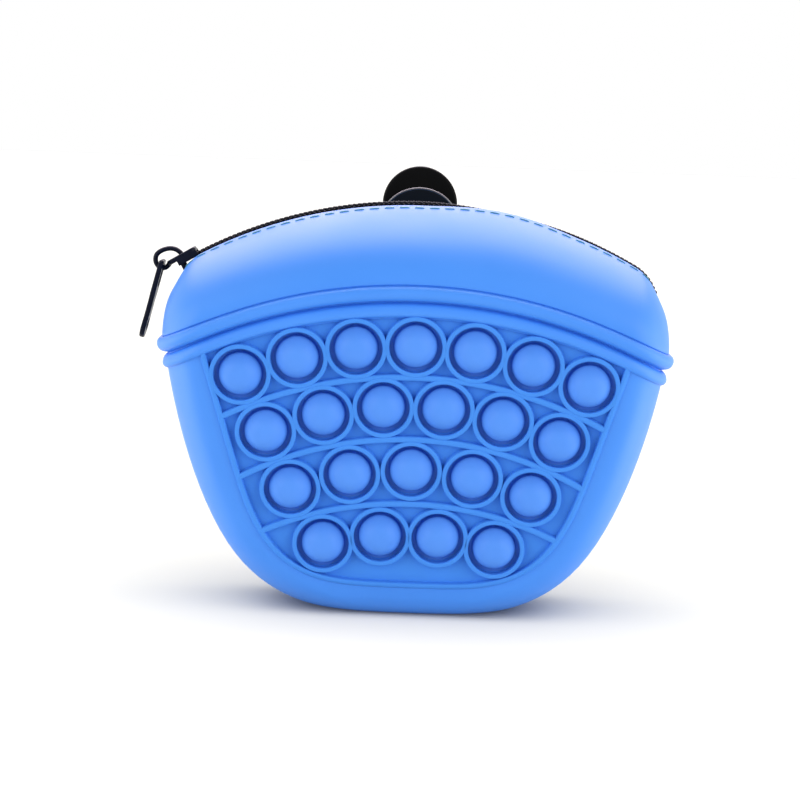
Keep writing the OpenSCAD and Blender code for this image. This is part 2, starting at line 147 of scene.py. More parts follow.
def curve_through(points: Sequence[Sequence[float]]) -> np.ndarray:
    """Smooth line through the points (a Catmull-Rom curve).

    Args:
        points: The points that the line passes through.

    Returns:
        The points of the line.
    """
    p = np.asarray(points, float)
    p = np.vstack([2 * p[0] - p[1], p, 2 * p[-1] - p[-2]])
    t = np.linspace(0, 1, CURVE_STEPS, endpoint=False)[:, None]
    out = []
    for a, b, c, d in zip(p[:-3], p[1:-2], p[2:-1], p[3:]):
        out.append(0.5 * (2 * b + (c - a) * t + (2 * a - 5 * b + 4 * c - d) * t**2 + (3 * b - a - 3 * c + d) * t**3))
    return np.vstack([*out, p[-2:-1]])


def rounded(corners: Sequence[Sequence[float]], reach: float, steps: int = 5) -> Loop:
    """Closed loop with each corner of a polygon rounded off.

    Args:
        corners: Corners of the polygon.
        reach: Distance from a corner at which its curve starts.
        steps: Steps in each curve.

    Returns:
        The points of the loop.
    """
    c = np.asarray(corners, float)
    back, ahead = np.roll(c, 1, 0) - c, np.roll(c, -1, 0) - c
    out = []
    for p, a, b in zip(c, back, ahead):
        start = p + unit(a) * min(reach, np.linalg.norm(a) * 0.45)
        end = p + unit(b) * min(reach, np.linalg.norm(b) * 0.45)
        for t in np.linspace(0, 1, steps):
            out.append((1 - t) ** 2 * start + 2 * t * (1 - t) * p + t * t * end)
    return np.array(out)


def circle(centre: Sequence[float], radius: float, count: int) -> Loop:
    """Points round a circle."""
    a = np.linspace(0, 2 * math.pi, count, endpoint=False)
    return np.asarray(centre, float) + radius * np.stack([np.cos(a), np.sin(a)], 1)


def inside(points: np.ndarray, loops: Sequence[Loop]) -> np.ndarray:
    """Which points lie inside an odd number of the loops.

    Args:
        points: Points in the loops' plane.
        loops: Closed loops.

    Returns:
        One truth value for each point.
    """
    odd = np.zeros(len(points), bool)
    x, y = points[:, :1], points[:, 1:]
    for loop in loops:
        a, b = loop, np.roll(loop, -1, 0)
        rise = np.where(a[:, 1] == b[:, 1], 1e-12, b[:, 1] - a[:, 1])
        left = x < (b[:, 0] - a[:, 0]) * (y - a[:, 1]) / rise + a[:, 0]
        odd ^= (((a[:, 1] > y) != (b[:, 1] > y)) & left).sum(1) % 2 == 1
    return odd


def fill(loops: Sequence[Loop], extra: np.ndarray | None = None) -> tuple[np.ndarray, np.ndarray]:
    """Triangles of the flat area between closed loops.

    Args:
        loops: Closed loops, the outer one and any holes.
        extra: Points inside the area that the triangles also use.

    Returns:
        The points, those of the loops first and in order, and the triangles, anticlockwise.
    """
    given = np.vstack([*loops] if extra is None else [*loops, extra])
    edges, start = [], 0
    for loop in loops:
        edges += [(start + i, start + (i + 1) % len(loop)) for i in range(len(loop))]
        start += len(loop)
    made, _, faces, origin, _, _ = delaunay_2d_cdt([Vector(p) for p in given], edges, [], 0, 1e-6)
    index, points = [], list(given)
    for point, source in zip(made, origin):
        index.append(source[0] if source else len(points))
        if not source:
            points.append(np.array(point))
    points = np.array(points)
    triangles = np.array([[index[i] for i in face] for face in faces])
    triangles = triangles[inside(points[triangles].mean(1), loops)]
    a, b, c = (points[triangles[:, k]] for k in range(3))
    turn = (b[:, 0] - a[:, 0]) * (c[:, 1] - a[:, 1]) - (b[:, 1] - a[:, 1]) * (c[:, 0] - a[:, 0])
    triangles[turn < 0] = triangles[turn < 0][:, ::-1]
    return points, triangles[np.abs(turn) > 1e-9]


class Shape:
    """A mesh in the making: points in millimetres and faces, each with a mark."""

    def __init__(self) -> None:
        """Starts with nothing."""
        self.blocks: list[np.ndarray] = []
        self.count = 0
        self.faces: list[tuple[int, ...]] = []
        self.marks: list[str] = []

    @property
    def points(self) -> np.ndarray:
        """All points so far."""
        return np.vstack(self.blocks)

    def add(self, points: np.ndarray) -> np.ndarray:
        """Adds points.

        Args:
            points: The points, in millimetres.

        Returns:
            Their numbers.
        """
        self.blocks.append(np.asarray(points, float).reshape(-1, 3))
        self.count += len(self.blocks[-1])
        return np.arange(self.count - len(self.blocks[-1]), self.count)

    def face(self, corners: Sequence[int], mark: str = "") -> None:
        """Adds one face, with a corner that is given twice taken once."""
        self.faces.append(tuple(dict.fromkeys(int(i) for i in corners)))
        self.marks.append(mark)

    def strip(self, low: np.ndarray, high: np.ndarray, closed: bool = False) -> None:
        """Adds a strip of four-sided faces between two rows of points.

        Args:
            low: Numbers of the points of one row.
            high: Numbers of the points of the other row.
            closed: Whether the rows run round and meet.
        """
        for i in range(len(low) if closed else len(low) - 1):
            j = (i + 1) % len(low)
            self.face((low[i], low[j], high[j], high[i]))

    def turn_outward(self, first: int) -> None:
        """Turns the faces of a closed part so that they look outward.

        Args:
            first: Number of the part's first face; it runs to the last face so far.
        """
        points, volume = self.points, 0.0
        for face in self.faces[first:]:
            a = points[face[0]]
            for i, j in zip(face[1:-1], face[2:]):
                volume += float(np.dot(a, np.cross(points[i], points[j])))
        if volume < 0:
            self.faces[first:] = [face[::-1] for face in self.faces[first:]]

    def tube(
        self,
        line: np.ndarray,
        radius: float | Sequence[float],
        sides: int,
        up: np.ndarray | Sequence[float],
        ends: float = 0.0,
    ) -> None:
        """Sweeps a round or oval section along a line.

        Args:
            line: Middle of the tube.
            radius: Radius, or the radii across and along up.
            sides: Points round the section.
            up: Direction that the second radius lies along, for the whole line or for each point.
            ends: Length of the rounded ends, 0 for flat ones.
        """
        across, high = radius if isinstance(radius, Sequence) else (radius, radius)
        ahead = unit(np.gradient(line, axis=0))
        up = np.broadcast_to(np.asarray(up, float), line.shape)
        side = unit(np.cross(ahead, up))
        top = np.cross(side, ahead)
        share = np.ones(len(line))
        if ends:
            run = along(line)
            share = np.sqrt(1 - (1 - np.clip(np.minimum(run, run[-1] - run) / ends, TIP_SHARE, 1)) ** 2)
        first, rows = len(self.faces), []
        for a in np.linspace(0, 2 * math.pi, sides, endpoint=False):
            rows.append(line + share[:, None] * (across * math.cos(a) * side + high * math.sin(a) * top))
        index = self.add(np.stack(rows, 1)).reshape(len(line), sides)
        for low, above in zip(index[:-1], index[1:]):
            self.strip(low, above, closed=True)
        self.face(index[0][::-1])
        self.face(index[-1])
        self.turn_outward(first)

    def sweep(self, rows: Sequence[np.ndarray]) -> None:
        """Adds a closed bar through lines that run along its length.

        Args:
            rows: Lines of equal length, in order round the bar's section.
        """
        first = len(self.faces)
        index = np.array([self.add(row) for row in rows])
        for k in range(len(rows)):
            self.strip(index[k], index[(k + 1) % len(rows)])
        self.face(index[:, 0])
        self.face(index[::-1, -1])
        self.turn_outward(first)

    def lathe(self, profile: np.ndarray, place: Place, count: int, closed: bool) -> None:
        """Turns a profile round an axis.

        Args:
            profile: Radius and height of each point. A radius of 0 is on the axis.
            place: Puts points of the plane and their heights into space.
            count: Points round the axis.
            closed: Whether the profile comes back to its start.
        """
        first, rows = len(self.faces), []
        for radius, height in profile:
            ring = circle((0, 0), radius, count) if radius > 0 else np.zeros((1, 2))
            index = self.add(place(ring, np.full(len(ring), height)))
            rows.append(index if radius > 0 else np.repeat(index, count))
        if closed:
            rows.append(rows[0])
        for low, high in zip(rows[:-1], rows[1:]):
            self.strip(low, high, closed=True)
        if closed:
            self.turn_outward(first)

    def slab(
        self,
        loops: Sequence[Loop],
        edge: float,
        low: Level,
        high: Level,
        place: Place,
        extra: np.ndarray | None = None,
    ) -> None:
        """Adds a plate with rounded edges.

        Args:
            loops: Outline, anticlockwise, and holes, clockwise.
            edge: Radius of the rounded edges.
            low: Level of the lower face at points of the plane.
            high: Level of the upper face.
            place: Puts points of the plane and their levels into space.
            extra: Points that bend the faces where their levels aren't flat.
        """
        first, angles = len(self.faces), np.linspace(0, math.pi / 2, EDGE_STEPS + 1)
        profile = [(edge * (1 - math.sin(a)), low, edge * (1 - math.cos(a))) for a in angles]
        profile += [(edge * (1 - math.sin(a)), high, -edge * (1 - math.cos(a))) for a in angles[::-1]]
        ends: tuple[list[np.ndarray], list[np.ndarray]] = ([], [])
        inner = []
        for loop in loops:
            inward = left_of(unit(np.roll(loop, -1, 0) - np.roll(loop, 1, 0)))
            inner.append(loop + inward * edge)
            rows = []
            for inset, level, lift in profile:
                p = loop + inward * inset
                rows.append(self.add(place(p, level(p) + lift)))
            for below, above in zip(rows[:-1], rows[1:]):
                self.strip(below, above, closed=True)
            ends[0].append(rows[0])
            ends[1].append(rows[-1])
        flat, triangles = fill(inner, extra)
        shared = sum(len(loop) for loop in loops)
        for level, rows, order in ((low, ends[0], (2, 1, 0)), (high, ends[1], (0, 1, 2))):
            rest = flat[shared:]
            numbers = np.concatenate([*rows, self.add(place(rest, level(rest)))] if len(rest) else rows)
            for triangle in triangles:
                self.face(numbers[triangle[list(order)]])
        self.turn_outward(first)

    def smooth_normals(self) -> np.ndarray:
        """Averages the faces with three or four corners that meet at each point.

        Returns:
            The normal at each point.
        """
        points, normals = self.points, np.zeros((self.count, 3))
        for face in self.faces:
            p = points[list(face)]
            if len(face) == 4:
                normals[list(face)] += np.cross(p[2] - p[0], p[3] - p[1])
            elif len(face) == 3:
                normals[list(face)] += np.cross(p[1] - p[0], p[2] - p[0])
        return unit(normals)

    def build(
        self,
        name: str,
        finish: "Finish",
        crease: float = 40.0,
        normals: np.ndarray | None = None,
        mark: str | None = None,
    ) -> bpy.types.Object:
        """Makes the mesh object.

        Args:
            name: Name of the piece.
            finish: Finish that it gets.
            crease: Angle in degrees from which an edge shows as sharp.
            normals: Normals at the points, for a surface that runs on into another piece.
            mark: Only faces with this mark are used, if it is given.

        Returns:
            The new object, linked to the scene.
        """
        faces = [f for f, m in zip(self.faces, self.marks) if mark is None or m == mark]
        used = np.unique(np.concatenate([np.array(f) for f in faces]))
        number = np.zeros(self.count, int)
        number[used] = np.arange(len(used))
        mesh = bpy.data.meshes.new(name)
        mesh.from_pydata((self.points[used] * MM).tolist(), [], [[int(number[i]) for i in f] for f in faces])
        mesh.shade_smooth()
        if normals is None:
            mesh.set_sharp_from_angle(angle=math.radians(crease))
        else:
            mesh.normals_split_custom_set_from_vertices(normals[used].tolist())
        mesh.materials.append(finish.material())
        made = bpy.data.objects.new(name, mesh)
        bpy.context.scene.collection.objects.link(made)
        log.info("%s: %d points, %d faces", name, len(used), len(faces))
        return made


# Finishes


def linear(code: str) -> tuple[float, float, float, float]:
    """Turns an sRGB colour such as #4C8EF6 into linear RGBA."""
    parts = [int(code[i : i + 2], 16) / 255 for i in (1, 3, 5)]
    return (*[p / 12.92 if p <= 0.04045 else ((p + 0.055) / 1.055) ** 2.4 for p in parts], 1.0)


def add_node(tree: bpy.types.NodeTree, kind: str, inputs: dict | None = None, **settings: object) -> bpy.types.Node:
    """Adds one shader node with its settings, values and links.

    Args:
        tree: Node tree that gets it.
        kind: Blender's name for the node.
        inputs: Value of each input, or the output that it is linked to.
        settings: Properties of the node.

    Returns:
        The node.
    """
    node = tree.nodes.new(kind)
    for key, value in settings.items():
        setattr(node, key, value)
    for key, value in (inputs or {}).items():
        if isinstance(value, bpy.types.NodeSocket):
            tree.links.new(value, node.inputs[key])
        else:
            node.inputs[key].default_value = value
    return node


def per_metre(size_mm: float) -> float:
    """Scale of a pattern in object coordinates whose grain is size_mm wide."""
    return 1 / (size_mm * MM)


@dataclass(frozen=True)
class Finish(ABC):
    """A surface finish that makes its material once."""

    name: str

    def material(self) -> bpy.types.Material:
        """Makes the finish's material when it is first asked for.

        Returns:
            The material.
        """
        found = bpy.data.materials.get(self.name)
        if found is None:
            found = bpy.data.materials.new(self.name)
            found.use_nodes = True
            found.node_tree.nodes.clear()
            shader = self.shade(found.node_tree)
            add_node(found.node_tree, "ShaderNodeOutputMaterial", {"Surface": shader})
        return found

    @abstractmethod
    def shade(self, tree: bpy.types.NodeTree) -> bpy.types.NodeSocket:
        """Draws the finish and gives the shader's output."""

    def surface(
        self,
        tree: bpy.types.NodeTree,
        pattern: bpy.types.NodeSocket,
        colours: tuple[str, str],
        rough: tuple[float, float],
        relief: tuple[bpy.types.NodeSocket, float, float],
        values: dict[str, float],
    ) -> bpy.types.NodeSocket:
        """Draws a surface whose colour and roughness follow one pattern, and whose relief follows a pattern too.

        Args:
            tree: Node tree of the material.
            pattern: Pattern of the colour and the roughness.
            colours: The colours that the pattern runs between.
            rough: The roughnesses that it runs between, or one roughness twice for an even surface.
            relief: Pattern of the relief, its strength and its depth in millimetres.
            values: Other inputs of the shader.

        Returns:
            The shader's output.
        """
        first, second = (linear(code) for code in colours)
        mix = add_node(tree, "ShaderNodeMix", {"Factor": pattern, "A": first, "B": second}, data_type="RGBA")
        low, high = rough
        dull: float | bpy.types.NodeSocket = low
        if low != high:
            span = {**NOISE_RANGE, "To Min": low, "To Max": high}
            dull = add_node(tree, "ShaderNodeMapRange", {"Value": pattern, **span}).outputs["Result"]
        height, strength, depth = relief
        bump = add_node(tree, "ShaderNodeBump", {"Height": height, "Strength": strength, "Distance": depth * MM})
        drawn = {"Base Color": mix.outputs[2], "Roughness": dull, "Normal": bump.outputs["Normal"]}
        return add_node(tree, "ShaderNodeBsdfPrincipled", {**drawn, **values}).outputs["BSDF"]


@dataclass(frozen=True)
class MouldedSilicone(Finish):
    """Silicone rubber from a fine-blasted mould: matt, with a broad soft highlight that pales its crests."""

    deep: str = "#3B82E0"
    clear: str = "#4188E6"
    rough: float = 0.42
    gloss: float = 0.5
    grain_mm: float = 0.7
    cloud_mm: float = 22.0
    rough_span: float = 0.08
    relief: tuple[float, float] = (0.08, 0.1)
    ior: float = 1.41

    def shade(self, tree: bpy.types.NodeTree) -> bpy.types.NodeSocket:
        """Draws the finish.

        Args:
            tree: Node tree of the material.

        Returns:
            The shader's output.
        """
        place = add_node(tree, "ShaderNodeTexCoord").outputs["Object"]
        cloud = add_node(
            tree, "ShaderNodeTexNoise", {"Vector": place, "Scale": per_metre(self.cloud_mm), "Detail": 3.0}
        ).outputs["Fac"]
        # The blasted mould leaves a grain of about 0.2 mm, drawn coarser so that it shows
        grain = add_node(
            tree, "ShaderNodeTexNoise", {"Vector": place, "Scale": per_metre(self.grain_mm), "Detail": 2.0}
        ).outputs["Fac"]
        return self.surface(
            tree,
            cloud,
            (self.deep, self.clear),
            (self.rough, self.rough + self.rough_span),
            (grain, *self.relief),
            {"IOR": self.ior, "Specular IOR Level": self.gloss},
        )


@dataclass(frozen=True)
class WovenTape(Finish):
    """Black woven polyester zip tape: rows of fine ribs that catch a little light."""

    yarn: str = "#151B26"
    gap: str = "#04070C"
    thread_mm: float = 0.45
    rough: float = 0.75
    relief: tuple[float, float] = (0.6, 0.15)
    ior: float = 1.57
    sheen: float = 0.3

    def shade(self, tree: bpy.types.NodeTree) -> bpy.types.NodeSocket:
        """Draws the finish.

        Args:
            tree: Node tree of the material.

        Returns:
            The shader's output.
        """
        # The tape's own coordinates are in millimetres, along and across it
        place = add_node(tree, "ShaderNodeUVMap", uv_map="tape_mm").outputs["UV"]
        scale = WAVE_LENGTH / self.thread_mm
        weft = add_node(tree, "ShaderNodeTexWave", {"Vector": place, "Scale": scale}, bands_direction="X")
        warp = add_node(tree, "ShaderNodeTexWave", {"Vector": place, "Scale": scale}, bands_direction="Y")
        weave = add_node(
            tree, "ShaderNodeMath", {0: weft.outputs["Fac"], 1: warp.outputs["Fac"]}, operation="MULTIPLY"
        ).outputs["Value"]
        return self.surface(
            tree,
            weave,
            (self.gap, self.yarn),
            (self.rough, self.rough),
            (weave, *self.relief),
            {"IOR": self.ior, "Sheen Weight": self.sheen},
        )


@dataclass(frozen=True)
class GrainedFinish(Finish):
    """A finish of one colour with a fine grain in its gloss and surface."""

    colour: str
    light: str
    rough: float
    grain_mm: float
    depth_mm: float = 0.02
    strength: float = 0.3
    rough_span: tuple[float, float] = (-0.05, 0.07)
    ior: float = 1.5
    metallic: float = 0.0
    stretch: tuple[float, float, float] = (1.0, 1.0, 1.0)
    sheen: float = 0.0
    gloss: float = 0.5

    def shade(self, tree: bpy.types.NodeTree) -> bpy.types.NodeSocket:
        """Draws the finish.

        Args:
            tree: Node tree of the material.

        Returns:
            The shader's output.
        """
        place = add_node(
            tree,
            "ShaderNodeMapping",
            {"Vector": add_node(tree, "ShaderNodeTexCoord").outputs["Object"], "Scale": self.stretch},
        ).outputs["Vector"]
        grain = add_node(
            tree, "ShaderNodeTexNoise", {"Vector": place, "Scale": per_metre(self.grain_mm), "Detail": 3.0}
        ).outputs["Fac"]
        low, high = (self.rough + span for span in self.rough_span)
        values = {"Metallic": self.metallic, "Sheen Weight": self.sheen, "Specular IOR Level": self.gloss}
        if not self.metallic:
            values["IOR"] = self.ior
        relief = (grain, self.strength, self.depth_mm)
        return self.surface(tree, grain, (self.colour, self.light), (low, high), relief, values)


@dataclass(frozen=True)
class StudioPaper(Finish):
    """Grey paper sweep that its own lamp lights to white: it keeps the pouch's soft shadow, with little of its blue."""

    colour: str = "#AAAAAA"
    bounce: str = "#A6A6A6"
    glow: float = 0.04
    shadow_share: float = 1.09

    def shade(self, tree: bpy.types.NodeTree) -> bpy.types.NodeSocket:
        """Draws the finish.

        Args:
            tree: Node tree of the material.

        Returns:
            The shader's output.
        """
        seen = seen_directly(tree)
        bounce = add_node(tree, "ShaderNodeBsdfDiffuse", {"Color": linear(self.bounce)}).outputs["BSDF"]
        share = tuple(c * self.shadow_share for c in linear(self.colour)[:3])
        lit = add_node(tree, "ShaderNodeBsdfDiffuse", {"Color": (*share, 1.0)}).outputs["BSDF"]
        glow = add_node(tree, "ShaderNodeEmission", {"Strength": self.glow}).outputs["Emission"]
        shown = add_node(tree, "ShaderNodeAddShader", {0: lit, 1: glow}).outputs["Shader"]
        return add_node(tree, "ShaderNodeMixShader", {0: seen, 1: bounce, 2: shown}).outputs["Shader"]


def seen_directly(tree: bpy.types.NodeTree) -> bpy.types.NodeSocket:
    """Tells rays that show a surface to the camera, straight, in a reflection or through glass, from other rays.

    Args:
        tree: Node tree of the material or the world.

    Returns:
        An output that is 1 for such rays and 0 for the others.
    """
    path = add_node(tree, "ShaderNodeLightPath").outputs
    either = add_node(
        tree, "ShaderNodeMath", {0: path["Is Camera Ray"], 1: path["Is Glossy Ray"]}, operation="MAXIMUM"
    ).outputs["Value"]
    return add_node(
        tree, "ShaderNodeMath", {0: either, 1: path["Is Transmission Ray"]}, operation="MAXIMUM"
    ).outputs["Value"]


# Matt silicone of the body: the sky and the back lamp pale its crests, and its walls keep their full blue
SILICONE = MouldedSilicone("silicone_matt_moulded")
# The panel comes from a more coarsely blasted insert of the mould, so it is less glossy than the body
PANEL_SILICONE = MouldedSilicone("silicone_satin_moulded_panel", deep="#3F82DB", clear="#4588E1", gloss=0.1)
# The bubbles are a little smoother than the panel round them, and drawn a little lighter: painted light for the extra
# light that the domes catch
BUBBLE_SILICONE = MouldedSilicone("silicone_satin_moulded_bubble", "#4B86E1", "#548EE7", rough=0.44, gloss=0.2)
# Woven polyester: dull black, with ribs that show as faint rows
TAPE = WovenTape("polyester_tape_woven")
# Nylon monofilament is smooth and a little glossy, so each turn of the coil has its own small highlight
COIL = GrainedFinish(
    "nylon_coil_drawn", "#02060E", "#050B16", rough=0.42, ior=1.53, grain_mm=0.5, depth_mm=0.01, gloss=0.04
)
# Spun polyester thread: matt, with fine fibres that soften its edge
THREAD = GrainedFinish(
    "polyester_thread_spun", "#2C7490", "#4A92AC", rough=0.8, ior=1.57, grain_mm=0.2, depth_mm=0.05, sheen=0.3
)
# Die-cast zinc under dark blue-black paint: smooth, with tight highlights along its edges
ZINC = GrainedFinish("zinc_die_cast_painted", "#020714", "#060E24", rough=0.3, grain_mm=1.2, gloss=0.1)
# ABS from a spark-eroded mould: black with a fine even grain that breaks up its gloss
ABS = GrainedFinish(
    "abs_spark_grained", "#050506", "#090909", rough=0.42, ior=1.53, grain_mm=0.5, depth_mm=0.03, gloss=0.04
)
# The fixed plate has a slightly bluer, glossier face, as from a second mould
ABS_PLATE = GrainedFinish(
    "abs_spark_grained_plate", "#050910", "#091017", rough=0.36, ior=1.53, grain_mm=0.5, depth_mm=0.03, gloss=0.06
)
# A glossy bead of paler grey laid along the plate's round top edge: its paler colour is a painted highlight line, and
# its gloss also catches the lamps
ABS_PAINTED_HIGHLIGHT = GrainedFinish(
    "abs_glossy_edge_painted_highlight", "#14161A", "#1C1E22", rough=0.18, ior=1.53, grain_mm=0.8, depth_mm=0.005, gloss=0.9
)
# Drawn spring steel: bright, with fine lines along the wire
STEEL = GrainedFinish(
    "steel_drawn_bright",
    "#A9ADB3",
    "#C4C8CD",
    rough=0.26,
    grain_mm=0.25,
    depth_mm=0.01,
    metallic=1.0,
    stretch=(0.1, 1.0, 1.0),
)
# Uncoated paper: quite matt, so that it shows no lamp and keeps only a soft shadow
PAPER = StudioPaper("paper_sweep_white")


# Pouch


@dataclass(frozen=True)
class ZipLine:
    """The line of the zip seen from the front: an arc that drops steeply at its two ends."""

    radius: float = 127.0
    crest: float = 114.9
    bend_start: float = 28.6
    bend_radius: float = 13.0
    steep: float = 62.0
    tail: float = 4.0
    wave_rise: tuple[float, float] = (0.0, 24.0)
    wave_fall: tuple[float, float] = (26.0, 46.0)
    wave_kept: float = 0.33

    @property
    def bend_run(self) -> float:
        """Distance along the line from the crest to the start of the bend."""
        return self.radius * math.radians(self.bend_start)

    @property
    def steep_run(self) -> float:
        """Distance along the line from the crest to the end of the bend."""
        return self.bend_run + self.bend_radius * math.radians(self.steep - self.bend_start)

    @property
    def half_run(self) -> float:
        """Distance along the line from the crest to its end."""
        return self.steep_run + self.tail

    def wave(self, run: np.ndarray) -> np.ndarray:
        """How far the front lip bulges up over the chain: most to the right of the middle, 0 on the left half."""
        return ease(run, *self.wave_rise) * (1 - (1 - self.wave_kept) * ease(run, *self.wave_fall))

    def at(self, run: np.ndarray, rise: np.ndarray | float) -> tuple[np.ndarray, np.ndarray]:
        """Places on the line.

        Args:
            run: Distance along the line from the crest, to the right.
            rise: Distance outward from the line.

        Returns:
            X and Z of the places.
        """
        s, first, last = np.abs(run), math.radians(self.bend_start), math.radians(self.steep)
        bent = s > self.bend_run
        slope = np.where(bent, np.minimum(first + (s - self.bend_run) / self.bend_radius, last), s / self.radius)
        rest = np.maximum(0, s - self.steep_run)
        round_r = np.where(bent, self.bend_radius, self.radius)
        away = np.where(bent, self.radius - self.bend_radius, 0)
        x = away * math.sin(first) + (round_r + rise) * np.sin(slope) + rest * math.cos(last)
        z = away * math.cos(first) + (round_r + rise) * np.cos(slope) - rest * math.sin(last)
        return np.sign(run) * x, self.crest - self.radius + z


@dataclass(frozen=True)
class PanelPlan:
    """Plan of the bubble panel on the sloping front wall: u to the right, t up the slope, w out of the wall."""

    counts: tuple[int, ...] = (7, 6, 5, 4)
    arcs: tuple[float, ...] = (124.3, 100.8, 90.3, 96.8)
    tops: tuple[float, ...] = (7.1, 23.9, 41.8, 60.4)
    steps: tuple[float, ...] = (7.45, 9.35, 10.7, 9.4)
    lean: float = 7.0
    front: float = 29.0
    datum: float = 84.0
    top_z: float = 84.6
    side_down: float = 35.0
    foot_down: float = 75.4
    side_half: float = 51.1
    side_lean: float = 0.3
    foot_power: float = 4.0
    corner_u: float = 58.0
    divider_drop: float = 0.1
    smoothing: int = 14
    bore: float = 7.15

    @property
    def outward(self) -> np.ndarray:
        """Direction out of the wall."""
        a = math.radians(self.lean)
        return np.array([0, -math.cos(a), -math.sin(a)])

    def at(self, plane: np.ndarray, w: np.ndarray | float) -> np.ndarray:
        """Places in space of points of the panel's plane.

        Args:
            plane: u and t of each point.
            w: Distance out of the wall.

        Returns:
            The places.
        """
        a = math.radians(self.lean)
        up = np.array([0, -math.sin(a), math.cos(a)])
        start = np.array([0, -self.front, self.datum])
        across = plane[:, :1] * np.array([1.0, 0, 0])
        return start + across + plane[:, 1:] * up + np.broadcast_to(w, len(plane))[:, None] * self.outward

    def places(self) -> np.ndarray:
        """Works out where the bubbles are.

        Returns:
            The middle of each bubble in the panel's plane, row by row from the top left.
        """
        out = []
        for count, arc, top, step in zip(self.counts, self.arcs, self.tops, self.steps):
            for k in range(count):
                a = math.radians((k - (count - 1) / 2) * step)
                out.append((arc * math.sin(a), -top - arc * (1 - math.cos(a))))
        return np.array(out)

    def outline(self, bead_z: Callable[[np.ndarray], np.ndarray]) -> tuple[np.ndarray, np.ndarray]:
        """Edge of the panel.

        Args:
            bead_z: Height of the groove between the beads at each x.

        Returns:
            The top edge from left to right, and the rest from the top right, round the foot, to the top left.
        """
        slope = math.cos(math.radians(self.lean))

        def top(u: np.ndarray) -> np.ndarray:
            """Place up the slope of the top edge."""
            return (self.top_z - self.datum - bead_z(np.zeros(1)) + bead_z(u)) / slope

        half = self.side_half + (self.side_down + top(np.array([self.corner_u]))[0]) * self.side_lean
        u = np.linspace(-half, half, 81)
        edge = np.stack([u, top(u)], 1)
        a = np.linspace(0, math.pi, 241)
        cos, power = np.cos(a), 2 / self.foot_power
        down = (self.foot_down - self.side_down) * np.sin(a).clip(0) ** power
        wide = (self.side_half - self.side_lean * down) * np.abs(cos) ** power
        foot = np.stack([np.sign(cos) * wide, -self.side_down - down], 1)
        rest = spaced(np.vstack([edge[-1:], foot, edge[:1]]), 190)
        for _ in range(self.smoothing):
            rest[1:-1] = 0.5 * rest[1:-1] + 0.25 * (rest[:-2] + rest[2:])
        return edge, rest


